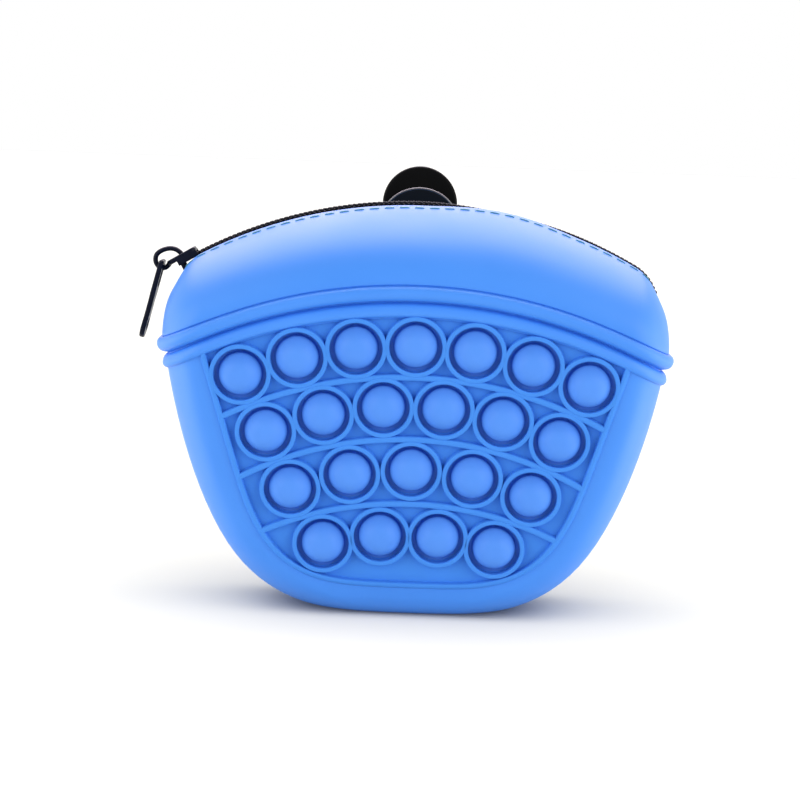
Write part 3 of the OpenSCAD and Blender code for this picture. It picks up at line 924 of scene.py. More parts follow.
@dataclass
class PouchBody:
    """The silicone moulding: body, beads, dome and lips, in a fixed piece and a front piece of the dome and lip."""

    zip_line: ZipLine
    panel: PanelPlan
    half_width: float = 71.0
    bead_top: float = 89.0
    bead_arc: float = 142.0
    rear: float = 25.0
    wall: float = 2.2
    corner: float = 12.3
    base_corner: float = 9.0
    corner_power: float = 2.2
    corner_fall: tuple[float, float] = (-22.0, -2.0)
    least_flat: float = 2.0
    side_height: float = 82.0
    base_sink: float = 2.0
    side_powers: tuple[float, float] = (1.3, 3.75)
    base_lift: float = 1.2
    base_half: float = 40.0
    lift_height: float = 16.0
    foot_front: tuple[float, float] = (9.0, 9.5)
    foot_rear: tuple[float, float] = (11.0, 30.0)
    clip_flat: tuple[float, float] = (19.0, 24.0)
    lip_drop: float = 0.85
    lip_wave: float = 1.1
    dome_turn: float = 70.0
    rear_drop: float = 0.5
    lip_thick: float = 1.1
    lip_gap: float = 5.0
    lip_round: float = 2.6
    rim_out: float = 0.45
    lip_share: float = 0.8
    turn_share: float = 2 / 3
    flats: tuple[int, int] = (96, 72)
    turns: int = 16
    low_shares: tuple[float, ...] = (
        *(0.0, 0.003, 0.008, 0.015, 0.025, 0.037, 0.052, 0.07, 0.09, 0.115, 0.145, 0.18, 0.22, 0.27),
        *(0.32, 0.38, 0.44, 0.5, 0.56, 0.62, 0.68, 0.74, 0.8, 0.86, 0.91),
    )
    window_row: int = 7
    beads: tuple[tuple[float, float], ...] = (
        *((-4.15, 0.0), (-4.08, 0.35), (-3.95, 0.7), (-3.7, 1.0), (-3.35, 1.2), (-2.9, 1.28), (-2.4, 1.2)),
        *((-1.9, 1.02), (-1.4, 0.78), (-1.0, 0.5), (-0.7, 0.2), (-0.45, -0.15), (-0.28, -0.6), (-0.1, -1.0)),
        *((0.08, -1.1), (0.22, -0.9), (0.28, -0.4), (0.34, 0.15), (0.45, 0.7), (0.65, 1.2), (0.95, 1.6)),
        *((1.4, 1.93), (2.0, 2.12), (2.6, 2.14), (3.2, 1.99), (3.7, 1.68), (4.08, 1.26), (4.28, 0.86)),
        *((4.38, 0.5), (4.43, 0.2), (4.49, 0.02), (4.56, -0.05), (4.63, 0.02), (4.69, 0.18), (4.77, 0.31), (4.9, 0.37)),
    )
    dome_turns: tuple[float, ...] = (2, 5, 9, 13, 18, 23, 29, 35, 41, 47, 53, 59, 65, 71, 76, 80, 84, 87, 89)
    rim_turns: tuple[float, ...] = (90, 65, 40, 15, -15, -40, -65, -90)
    inner_turns: tuple[float, ...] = (85, 78, 70, 60, 50, 40, 30, 20, 10, 4)
    inner_shares: tuple[float, ...] = (1.0, 0.92, 0.8, 0.66, 0.52, 0.38, 0.26, 0.17, 0.11, 0.07, 0.045, 0.03, 0.0)
    inner_closed: int = 4
    level_passes: int = 4
    back_from: float = 0.99
    across: np.ndarray = field(init=False)
    out: np.ndarray = field(init=False)
    turn: np.ndarray = field(init=False)
    is_flat: np.ndarray = field(init=False)

    def __post_init__(self) -> None:
        """Works out the columns round the pouch: front wall, right side, back wall, left side."""
        front, rear = self.flats
        angle = np.arange(1, 2 * self.turns) * 90 / self.turns
        angles = [np.zeros(front + 1), angle, np.full(rear + 1, 180.0), angle + 180]
        all_angles = np.radians(np.concatenate(angles))
        self.out = np.stack([np.sin(all_angles), -np.cos(all_angles)], 1)
        self.out[np.abs(self.out) < 1e-9] = 0
        part = 1 - np.abs(angle - 90) / 90
        self.turn = np.concatenate([np.zeros(front + 1), part, np.zeros(rear + 1), part])
        none = np.zeros(len(angle))
        self.across = np.concatenate([np.linspace(-1, 1, front + 1), none, np.linspace(1, -1, rear + 1), none])
        self.is_flat = self.turn == 0

    @property
    def columns(self) -> int:
        """Number of columns."""
        return len(self.turn)

    def bead_z(self, x: np.ndarray) -> np.ndarray:
        """Height of the groove between the beads."""
        return self.bead_top - self.bead_arc + np.sqrt(self.bead_arc**2 - np.square(x))

    def plan(self, z: np.ndarray, inset: float) -> np.ndarray:
        """Plan of the wall.

        Args:
            z: Height at each column.
            inset: How far inside the outer face.

        Returns:
            X and Y at each column.
        """

        def foot(radius: float, height: float) -> np.ndarray:
            """How far the rounded foot draws the wall in."""
            t = np.clip(1 - z / height, 0, 1)
            return radius * (1 - np.sqrt(1 - t * t))

        t = np.clip(1 - (z + self.base_sink) / self.side_height, 0, 1)
        half = self.half_width * (1 - t ** self.side_powers[0]) ** (1 / self.side_powers[1])
        corner = self.corner + self.base_corner * ease(-z, *self.corner_fall)
        flat = np.maximum(half, corner + self.least_flat) - inset - corner
        slope = math.tan(math.radians(self.panel.lean))
        front = self.panel.front - (self.panel.datum - z) * slope - foot(*self.foot_front) - inset
        rear = self.rear - foot(*self.foot_rear) - inset
        power = np.sign(self.out) * np.abs(self.out) ** (2 / self.corner_power)
        x = np.where(self.is_flat, flat * self.across, np.sign(self.out[:, 0]) * flat + corner * power[:, 0])
        return np.stack([x, power[:, 1] * np.where(self.out[:, 1] < 0, front, rear)], 1)

    def level(self, share: float, inset: float) -> np.ndarray:
        """Level that is a share of the way from the base to the beads.

        Args:
            share: The share.
            inset: How far inside the outer face.

        Returns:
            The height at each column.
        """
        z = np.full(self.columns, share * self.bead_top)
        for _ in range(self.level_passes):
            z = np.maximum(inset, share * self.bead_z(self.plan(z, inset)[:, 0]))
        return z

    def wall_row(self, share: float, inset: float) -> np.ndarray:
        """Points of the wall at one level.

        Args:
            share: The level's share of the way from the base to the beads.
            inset: How far inside the outer face.

        Returns:
            The points.
        """
        z = self.level(share, inset)
        p = self.plan(z, inset)
        lift = self.base_lift * np.square(p[:, 0] / self.base_half) * np.clip(1 - z / self.lift_height, 0, 1) ** 2
        return np.column_stack([p, z + (lift if inset == 0 else 0)])

    def bead_row(self, rise: float, reach: float) -> np.ndarray:
        """Points of the beads at one place of their section.

        Args:
            rise: Height above the groove between the beads.
            reach: Distance out of the wall.

        Returns:
            The points.
        """
        z = self.level(1.0, 0.0) + rise
        p = self.plan(z, 0.0)
        clear = np.where(self.out[:, 1] > self.back_from, ease(np.abs(p[:, 0]), *self.clip_flat), 1.0)
        return np.column_stack([p + self.out * (reach * clear)[:, None], z])

    def lip_row(self, drop: float, shrink: float) -> np.ndarray:
        """Points of the loop of the lips.

        Args:
            drop: Distance below the outer face of the lips.
            shrink: Distance inside the loop.

        Returns:
            The points.
        """
        side = np.sign(self.out[:, 0])
        share = np.where(
            self.is_flat,
            self.across * self.lip_share,
            side * (self.lip_share + (1 - self.lip_share) * np.minimum(1, self.turn / self.turn_share)),
        )
        end = np.radians(np.maximum(0, self.turn - self.turn_share) / (1 - self.turn_share) * 90)
        run = share * self.zip_line.half_run + side * (self.lip_round - shrink) * np.sin(end)
        bulge = self.lip_wave * self.zip_line.wave(run) * np.clip(-self.out[:, 1], 0, 1)
        low = self.lip_drop - bulge + self.rear_drop * np.clip(self.out[:, 1], 0, 1) + drop
        x, z = self.zip_line.at(run, -low)
        return np.column_stack([x, np.sign(self.out[:, 1]) * (self.lip_gap - shrink) * np.cos(end), z])

    def dome_row(self, turn: float, inner: bool = False) -> np.ndarray:
        """Points of the dome at one turn of its section.

        Args:
            turn: 0 degrees at the beads to 90 at the lips.
            inner: Whether the points are on the inner face.

        Returns:
            The points.
        """
        foot = self.wall_row(1.0, self.wall) if inner else self.bead_row(*self.beads[-1])
        lip = self.lip_row(self.lip_thick if inner else 0.0, 0.0)
        a, end = math.radians(turn * self.dome_turn / 90), math.radians(self.dome_turn)
        out = (math.cos(a) - math.cos(end)) / (1 - math.cos(end))
        flat = lip[:, :2] + (foot[:, :2] - lip[:, :2]) * out
        return np.column_stack([flat, foot[:, 2] + (lip[:, 2] - foot[:, 2]) * math.sin(a) / math.sin(end)])

    def rim_row(self, turn: float) -> np.ndarray:
        """Points of the lips' round edge, at 90 degrees on the outer face to -90 on the inner face."""
        a, half = math.radians(turn), self.lip_thick / 2
        return self.lip_row(half - half * math.sin(a), self.rim_out * math.cos(a))

    def is_front(self, column: int) -> bool:
        """Whether the strip from this column to the next is on the front half."""
        front, rear = self.flats
        return column < front + self.turns or column >= front + rear + 3 * self.turns

    def build(self) -> None:
        """Makes the fixed skin and the front piece of the dome and lip."""
        shape, rows = Shape(), [self.wall_row(s, 0.0) for s in self.low_shares]
        first_bead = len(rows)
        rows += [self.bead_row(*bead) for bead in self.beads]
        foot = len(rows) - 1
        rows += [self.dome_row(t) for t in self.dome_turns]
        rows += [self.rim_row(t) for t in self.rim_turns]
        rows += [self.dome_row(t, inner=True) for t in self.inner_turns]
        inner_top = len(rows)
        rows += [self.wall_row(s, self.wall) for s in self.inner_shares]
        inner_end = len(rows) - self.inner_closed
        index = np.array([shape.add(row) for row in rows])
        front = self.flats[0]
        for r in range(len(rows) - 1):
            open_wall = self.window_row <= r < first_bead or inner_top <= r < inner_end
            for c in range(self.columns):
                if open_wall and c < front:
                    continue
                d = (c + 1) % self.columns
                mark = "dome" if foot <= r < inner_top and self.is_front(c) else "skin"
                shape.face((index[r, c], index[r, d], index[r + 1, d], index[r + 1, c]), mark)
        top, rest = self.panel.outline(self.bead_z)
        self.close_wall(shape, index[self.window_row : first_bead + 1], [np.vstack([top, rest[1:-1]])], 0.0)
        holes = [circle(p, self.panel.bore, count=48) for p in self.panel.places()]
        depth = -self.wall * math.cos(math.radians(self.panel.lean))
        self.close_wall(shape, index[inner_top : inner_end + 1][::-1], holes, depth)
        shape.face(index[-1], "skin")
        normals = shape.smooth_normals()
        base = shape.add(rows[0])
        shape.face(base[::-1], "skin")
        normals = np.vstack([normals, np.tile([0, 0, -1.0], (len(base), 1))])
        normals[index[-1]] = (0, 0, 1)

        skin = shape.build("pouch_skin", SILICONE, normals=normals, mark="skin")
        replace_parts(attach(skin, Body.POUCH.value), "pouch_shell")
        dome = shape.build("front_dome", SILICONE, normals=normals, mark="dome")
        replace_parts(opens_with_lip(dome), "front_lip")

    def close_wall(self, shape: Shape, index: np.ndarray, holes: list[Loop], w: float) -> None:
        """Fills the flat front wall round its openings.

        Args:
            shape: The moulding.
            index: Numbers of the points of the wall's rows, from the lowest up.
            holes: Openings in the panel's plane.
            w: Place of this face of the wall on the panel's normal.
        """
        block = index[:, : self.flats[0] + 1]
        border = np.concatenate([block[0], block[1:, -1], block[-1, -2::-1], block[-2:0:-1, 0]])
        cut = [self.panel.at(hole, w) for hole in holes]
        loops = [shape.points[border][:, [0, 2]], *[c[:, [0, 2]] for c in cut]]
        numbers = np.concatenate([border, shape.add(np.vstack(cut))])
        _, triangles = fill(loops)
        for triangle in triangles[(triangles < len(numbers)).all(1)]:
            shape.face(numbers[triangle if w == 0 else triangle[::-1]], "skin")

    def lip_line(self, side: Side, inset: float) -> tuple[np.ndarray, np.ndarray]:
        """A line on the dome along one lip.

        Args:
            side: Which lip.
            inset: Distance of the line from the lip's edge.

        Returns:
            The line from left to right, and the dome's normals along it.
        """
        depth = (self.panel.front if side is Side.FRONT else self.rear) - self.lip_gap
        end = math.radians(self.dome_turn)
        turn = math.degrees(math.acos(math.cos(end) + inset / depth * (1 - math.cos(end)))) * 90 / self.dome_turn
        row, below, above = (self.dome_row(t) for t in (turn, turn - 2, turn + 2))
        front, rear = self.flats
        if side is Side.FRONT:
            pick = np.r_[self.columns - self.turns // 2 : self.columns, 0 : front + self.turns // 2]
        else:
            start = front + 2 * self.turns
            pick = np.arange(start - self.turns // 2, start + rear + self.turns // 2)[::-1]
        ahead = np.gradient(row[pick], axis=0)
        normal = unit(np.cross(ahead, (above - below)[pick])) * -side.value
        normal *= np.sign(normal[len(normal) // 2, 2])
        return row[pick], normal


def opens_with_lip(made: bpy.types.Object) -> bpy.types.Object:
    """Bakes the place of a piece of the mouth's front into its mesh."""
    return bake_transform(made)


@dataclass
class BubblePanel:
    """The recessed panel on the front with its rings, ribs, frame and push-through bubbles."""

    body: PouchBody
    floor: float = -0.9
    floor_gap: float = 0.5
    step_top: float = 0.05
    undercut: float = 0.4
    ring_foot: float = -3.2
    ring_r: float = 8.4
    ring_top: float = 1.12
    rib_half: float = 0.85
    rib_top: float = 0.98
    rib_foot: float = -1.2
    rib_turn: float = 40.0
    frame_w: float = 1.5
    frame_tail: float = 1.6
    dome_r: float = 5.8
    dome_top: float = 3.3
    dome_foot: float = 0.3
    dome_power: float = 3.0
    groove: float = -2.6

    def build(self) -> None:
        """Makes the panel and its bubbles."""
        plan, shape = self.body.panel, Shape()
        top, rest = plan.outline(self.body.bead_z)
        outline = np.vstack([top, rest[1:-1]])
        self.add_floor(shape, outline)
        self.add_frame(shape, rest)
        for r in range(len(plan.counts) - 1):
            self.add_divider(shape, r, outline)
        for place in plan.places():
            self.add_ring(shape, place)
        panel = shape.build("bubble_panel_skin", PANEL_SILICONE, crease=50)
        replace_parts(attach(panel, Body.POUCH.value), "bubble_panel")
        for i, place in enumerate(plan.places(), start=1):
            self.add_bubble(i, place)

    def on(self, place: np.ndarray) -> Place:
        """Puts points round one bubble into space."""
        return lambda plane, w: self.body.panel.at(plane + place, w)

    def add_floor(self, shape: Shape, outline: Loop) -> None:
        """Adds the recessed floor, open under the rings, and the step up to the wall round it.

        Args:
            shape: The panel.
            outline: The panel's edge.
        """
        plan = self.body.panel
        holes = [circle(p, plan.bore + self.floor_gap, count=40) for p in plan.places()]
        flat, triangles = fill([outline, *holes])
        index = shape.add(plan.at(flat, self.floor))
        for triangle in triangles:
            shape.face(index[triangle])
        edge = shape.add(plan.at(outline, self.floor))
        shape.strip(edge, shape.add(plan.at(outline, self.step_top)), closed=True)

    def add_frame(self, shape: Shape, path: np.ndarray) -> None:
        """Adds the raised rib round the sides and foot of the panel, whose ends run in under the lower bead.

        Args:
            shape: The panel.
            path: The panel's edge from the top right, round the foot, to the top left.
        """
        start, end = (self.frame_tail * unit(a - b) for a, b in ((path[0], path[3]), (path[-1], path[-4])))
        path = np.vstack([path[0] + start, path, path[-1] + end])
        inward = -left_of(unit(np.gradient(path, axis=0)))
        high, wide = self.rib_top + 0.02, self.frame_w
        section = [(-0.3, self.rib_foot), (-0.3, -0.1), (0, 0.32)]
        section += [(0.26, high - 0.28), (0.56, high - 0.07), (0.9, high)]
        section += [(wide - 0.45, high), (wide - 0.18, high - 0.07), (wide - 0.05, high - 0.22), (wide, high - 0.45)]
        section += [(wide + 0.05, self.floor), (wide + 0.05, self.rib_foot)]
        shape.sweep([self.body.panel.at(path + d * inward, w) for d, w in section])

    def add_divider(self, shape: Shape, row: int, outline: Loop) -> None:
        """Adds the rib between two rows of bubbles.

        Args:
            shape: The panel.
            row: Number of the row above the rib.
            outline: The panel's edge, where the rib ends.
        """
        plan = self.body.panel
        arc = (plan.arcs[row] + plan.arcs[row + 1]) / 2
        top = -(plan.tops[row] + plan.tops[row + 1]) / 2 - plan.divider_drop
        a = np.radians(np.linspace(-self.rib_turn, self.rib_turn, 401))
        middle = np.stack([arc * np.sin(a), top - arc * (1 - np.cos(a))], 1)
        middle = spaced(middle[inside(middle, [outline])][2:-2], 90)
        up = left_of(unit(np.gradient(middle, axis=0)))
        half, high = self.rib_half, self.rib_top
        section = [(half + 0.06, self.rib_foot), (half, high - 0.4)]
        section += [(half - 0.1, high - 0.16), (half - 0.3, high - 0.03)]
        section += [(0, high)] + [(-d, w) for d, w in section[::-1]]
        shape.sweep([plan.at(middle + d * up, w) for d, w in section])

    def add_ring(self, shape: Shape, place: np.ndarray) -> None:
        """Adds the raised ring round one bubble, with the bore that the bubble is moulded in.

        Args:
            shape: The panel.
            place: Middle of the bubble.
        """
        a, b, high = self.body.panel.bore, self.ring_r, self.ring_top
        profile = [(a + self.undercut, self.ring_foot), (a + self.undercut, self.groove), (a + 0.1, -0.2)]
        profile += [(a, high - 0.3), (a + 0.04, high - 0.13), (a + 0.13, high - 0.03), (a + 0.28, high)]
        profile += [(b - 0.28, high), (b - 0.13, high - 0.03), (b - 0.04, high - 0.13), (b, high - 0.3)]
        profile += [(b + 0.03, self.floor + 0.2), (b + 0.12, self.floor), (b + 0.12, self.ring_foot)]
        shape.lathe(np.array(profile), self.on(place), count=72, closed=True)

    def add_bubble(self, number: int, place: np.ndarray) -> None:
        """Makes one bubble, domed out as it is at rest.

        Args:
            number: Number of the bubble.
            place: Its middle.
        """
        share = np.sin(np.linspace(0, math.pi / 2, 22))
        fall = (self.dome_top + self.dome_foot) * share**self.dome_power
        dome = np.stack([self.dome_r * share, self.dome_top - fall], 1)
        g = self.groove
        foot = [(5.83, -0.9), (5.86, g + 0.5), (5.95, g + 0.2), (6.15, g + 0.04), (6.4, g), (6.7, g + 0.04)]
        wide = self.body.panel.bore + self.undercut
        foot += [(wide - 0.3, g + 0.12), (wide - 0.06, g + 0.4), (wide + 0.04, g + 0.5), (wide + 0.04, g)]
        shape = Shape()
        shape.lathe(np.vstack([dome, foot])[::-1], self.on(place), count=64, closed=False)
        made = shape.build(f"bubble_skin_{number}", BUBBLE_SILICONE, crease=60)
        low, high = (self.body.panel.at(place[None], w)[0] * MM for w in (g + 0.5, self.dome_top))
        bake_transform(made)
        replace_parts(made, f"bubble_{number}")


# Zip


@dataclass
class ZipHalf:
    """One half of the zip: woven tape, coil and the stitches through the lip."""

    body: PouchBody
    side: Side
    tape_in: float = 1.3
    tape_width: float = 10.0
    tape_drop: float = 2.2
    tape_thick: float = 0.4
    tape_edge: float = 0.15
    sag_from: float = 4.6
    front_sag: tuple[float, float] = (0.29, 0.016)
    rear_sag: tuple[float, float] = (0.42, 0.024)
    end_taper: float = 0.55
    taper_from: float = 3.0
    pitch: float = 1.4
    per_turn: int = 14
    turn_flat: float = 1.6
    wire: float = 0.32
    cord: float = 0.42
    coil_mid: float = 1.0
    coil_reach: float = 1.45
    coil_half_h: float = 0.72
    coil_drop: float = 0.85
    coil_sink: float = 0.3
    probe: float = 0.01
    left_end: float = 66.0
    right_gap: float = 1.5
    stitch: float = 3.05
    stitch_gap: float = 1.12
    thread: float = 0.2
    stitch_inset: float = 2.7
    stitch_ends: tuple[float, float] = (2.0, 4.0)
    stitch_lift: float = 0.12
    stitch_dip: float = 0.5

    def build(self) -> None:
        """Makes the pieces of this half."""
        tape, coil, thread = self.make_tape(), self.make_coil(), self.make_stitches()
        for made, slot in ((tape, "zip_tape"), (coil, "zip_coil"), (thread, "zip_tape")):
            if self.side is Side.FRONT:
                opens_with_lip(made)
            else:
                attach(made, Body.POUCH.value)
        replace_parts(tape, f"zip_tape_{self.side.word}")
        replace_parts(coil, f"zip_coil_{self.side.word}")

    def make_tape(self) -> bpy.types.Object:
        """Makes the woven tape, which lies flat under the lip and follows the dome's inner face behind it.

        Returns:
            The piece.
        """
        line = self.body.zip_line
        run = np.linspace(-line.half_run, line.half_run, 161)
        full, thin = self.tape_width, self.tape_edge
        wide = np.concatenate([[0, thin], np.linspace(4 * thin, full - thin, 15), [full]])
        off = np.maximum(0, wide + self.tape_in - self.sag_from)
        slope, curl = self.front_sag if self.side is Side.FRONT else self.rear_sag
        sag = slope * off + curl * off**2
        edge = np.clip(np.minimum(wide, full - wide) / thin, 0, 1) * self.tape_thick / 2
        shape, rows, uv = Shape(), [], []
        order = [(k, 1) for k in range(len(wide))] + [(k, -1) for k in range(len(wide) - 2, 0, -1)]
        for k, face in order:
            x, z = line.at(run, -self.tape_drop - self.tape_thick / 2 - sag[k] + face * edge[k])
            far = np.clip((wide[k] - self.taper_from) / (full - self.taper_from), 0, 1)
            taper = 1 - self.end_taper * ease(np.abs(run), line.bend_run, line.half_run) * far
            rows.append(np.column_stack([x, self.side.value * (self.tape_in + wide[k] * taper), z]))
            uv.append(np.column_stack([run, np.full(len(run), wide[k])]))
        shape.sweep(rows)
        made = shape.build(f"zip_tape_{self.side.word}_cloth", TAPE)
        flat = np.vstack(uv)
        layer = made.data.uv_layers.new(name="tape_mm")
        layer.data.foreach_set("uv", flat[[loop.vertex_index for loop in made.data.loops]].ravel())
        return made

    def make_coil(self) -> bpy.types.Object:
        """Makes the coil round its cord, whose turns pass between those of the other half.

        Returns:
            The piece.
        """
        line = self.body.zip_line
        turns = (line.half_run - self.right_gap + self.left_end) / self.pitch
        t = np.arange(0, int(turns * self.per_turn)) / self.per_turn
        run = -self.left_end + t * self.pitch
        phase = 2 * math.pi * t + (0 if self.side is Side.FRONT else math.pi)
        flat = np.tanh(self.turn_flat * np.sin(phase)) / math.tanh(self.turn_flat)
        x, z = line.at(run, -self.coil_drop - self.coil_sink * line.wave(run) + self.coil_half_h * flat)
        y = self.side.value * (self.coil_mid - self.coil_reach * np.cos(phase))
        ax, az = line.at(run + self.probe, 0.0)
        bx, bz = line.at(run - self.probe, 0.0)
        ahead = unit(np.column_stack([ax - bx, np.zeros(len(run)), az - bz]))
        shape = Shape()
        shape.tube(np.column_stack([x, y, z]), self.wire, sides=7, up=ahead)
        run = run[:: self.per_turn // 2]
        x, z = line.at(run, -self.coil_drop - self.coil_sink * line.wave(run))
        cord = np.column_stack([x, np.full(len(x), self.side.value * self.coil_mid), z])
        shape.tube(cord, self.cord, sides=8, up=(0, 1, 0))
        return shape.build(f"zip_coil_{self.side.word}_turns", COIL, crease=70)

    def make_stitches(self) -> bpy.types.Object:
        """Makes the row of stitches that holds the tape to its lip.

        Returns:
            The piece.
        """
        row, normal = self.body.lip_line(self.side, self.stitch_inset)
        run, shape = along(row), Shape()
        first, last = self.stitch_ends
        share = np.linspace(0, 1, 9)
        lift = self.stitch_lift - self.stitch_dip * (2 * share - 1) ** 8
        for start in np.arange(first, run[-1] - last, self.stitch + self.stitch_gap):
            at = start + self.stitch * share
            up = unit(sampled(normal, run, at))
            shape.tube(sampled(row, run, at) + up * lift[:, None], self.thread, sides=6, up=up)
        return shape.build(f"lip_stitches_{self.side.word}", THREAD, crease=70)


@dataclass
class ZipSlider:
    """The zip's slider with its bail, and the pull tab that hangs from it."""

    zip_line: ZipLine
    rest: float = -31.0
    low_r: float = 122.5
    top_r: float = 127.3
    plate: float = 1.4
    half_l: float = 5.0
    tail_x: float = 4.0
    half_w: float = 3.7
    tail_half: float = 3.4
    nose_x: float = -2.2
    nose_half: float = 1.8
    shoulder: float = 1.4
    corner: float = 1.2
    edge: float = 0.4
    wall_r: tuple[float, float] = (-1.4, 0.5)
    wall_corner: float = 0.25
    wall_edge: float = 0.12
    flange: float = 2.9
    post: tuple[float, float] = (-1.2, 0.9)
    post_sink: float = 1.0
    bail: tuple[tuple[float, float], ...] = (
        *((-4.3, -0.7), (-5.2, -1.15), (-6.2, -1.3), (-7.3, -0.8), (-7.8, 0.3), (-7.7, 1.6), (-6.9, 2.8)),
        *((-5.7, 3.3), (-4.2, 3.3), (-2.5, 2.8), (-1.2, 1.8), (-0.5, 0.5), (-0.4, -0.3)),
    )
    bail_half: tuple[float, float] = (0.7, 1.0)
    pivot: tuple[float, float] = (-6.2, 0.5)
    tab_lean: float = 14.0
    tab_length: float = 22.0
    tab_half: float = 4.0
    tab_thick: float = 1.4
    tab_edge: float = 0.35
    tab_step: float = 0.2
    tab_waist: float = 0.7
    tip_turn: float = 1.35
    tip_hole: float = 1.6
    bar_r: float = 0.72
    eye: tuple[float, float, float] = (0.5, 7.0, 1.6)

    def on_arc(self, x: np.ndarray, y: np.ndarray, r: np.ndarray) -> np.ndarray:
        """Places in space of points drawn at the top of the arc.

        Args:
            x: Distance along the zip.
            y: Distance across it.
            r: Distance from the arc's middle.

        Returns:
            The places.
        """
        a = math.radians(self.rest)
        low = self.zip_line.crest - self.zip_line.radius
        return np.column_stack([x * math.cos(a) + r * math.sin(a), y, low - x * math.sin(a) + r * math.cos(a)])

    def build(self) -> None:
        """Makes the slider and the tab."""
        shape, top = Shape(), self.top_r + self.plate
        outline = [(-self.half_l, -self.nose_half), (self.nose_x - self.shoulder, -self.half_w)]
        outline += [(self.nose_x, -self.half_w), (self.tail_x, -self.tail_half)]
        outline += [(x, -y) for x, y in outline[::-1]]

        def place(plane: np.ndarray, level: np.ndarray) -> np.ndarray:
            """Puts points of a plate into space."""
            return self.on_arc(plane[:, 0], plane[:, 1], level)

        # The lower plate stops short, so that it stays behind the lip where the zip ends
        short = [(self.nose_x, -self.tail_half), *outline[3:5], (self.nose_x, self.tail_half)]
        for low, corners in ((self.low_r, short), (self.top_r, outline)):
            loop = rounded(corners, self.corner)
            shape.slab([loop], self.edge, level_at(low), level_at(low + self.plate), place)
        post_x, post_r = self.post
        foot, head = self.low_r + self.post_sink, top - self.post_sink
        shape.lathe(
            np.array([(0, foot), (post_r, foot), (post_r, head), (0, head)]),
            lambda plane, level: place(plane + (post_x, 0), level),
            count=24,
            closed=False,
        )
        for side in (-1, 1):
            wall = [(self.nose_x, self.flange), (self.tail_x, self.flange)]
            wall += [(self.tail_x, self.tail_half), (self.nose_x, self.half_w)]
            wall = rounded([(x, y * side) for x, y in wall][::side], self.wall_corner)
            shape.slab([wall], self.wall_edge, *(level_at(self.top_r + r) for r in self.wall_r), place)
        bow = curve_through(self.bail)
        line = self.on_arc(bow[:, 0], np.zeros(len(bow)), top + bow[:, 1])
        shape.tube(line, self.bail_half, sides=16, up=(0, 1, 0))
        slider = shape.build("slider_casting", ZINC, crease=50)
        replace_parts(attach(slider, Body.SLIDER.value), "zip_slider")
        self.make_tab()

    def make_tab(self) -> None:
        """Makes the pull tab: a plate with an eye round the bail, a bar in the eye and a hole at the tip."""
        a = math.radians(self.tab_lean)
        top = self.top_r + self.plate
        hinge = self.on_arc(np.array([self.pivot[0]]), np.zeros(1), np.array([top + self.pivot[1]]))[0]
        down, out = np.array([-math.sin(a), 0, -math.cos(a)]), np.array([math.cos(a), 0, -math.sin(a)])
        across = np.array([0, 1.0, 0])

        def place(plane: np.ndarray, level: np.ndarray) -> np.ndarray:
            """Puts points of the tab into space."""
            return hinge + plane[:, :1] * down + plane[:, 1:] * across + level[:, None] * out

        start, end, half = self.eye
        tip, wide = self.tab_length - self.tab_half, self.tab_half - self.tab_step
        neck = wide - self.tab_waist
        round_end = arc_points((tip, 0), self.tab_half, np.linspace(-self.tip_turn, self.tip_turn, 25))
        left = [(0.0, -wide), (end + 2, -wide), (end + 4, -neck), (tip - 2.5, -neck)]
        outline = [*left, *round_end, *[(x, -y) for x, y in left[::-1]]]
        eye = rounded([(start, -half), (start, half), (end, half), (end, -half)], 0.9)
        hole = circle((tip, 0), self.tip_hole, count=32)[::-1]
        shape, thick = Shape(), self.tab_thick / 2
        loops = [rounded(outline, 0.7, steps=4), eye, hole]
        shape.slab(loops, self.tab_edge, level_at(-thick), level_at(thick), place)
        bar = np.linspace(-wide + 0.1, wide - 0.1, 12)
        shape.tube(hinge + bar[:, None] * across, self.bar_r, sides=16, up=out, ends=0.5)
        tab = shape.build("pull_tab_casting", ZINC, crease=50)
        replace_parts(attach(tab, Body.TAB.value), "pull_tab")


def level_at(height: float) -> Level:
    """A face at one height all over."""
    return lambda plane: np.full(len(plane), height)


# Clip


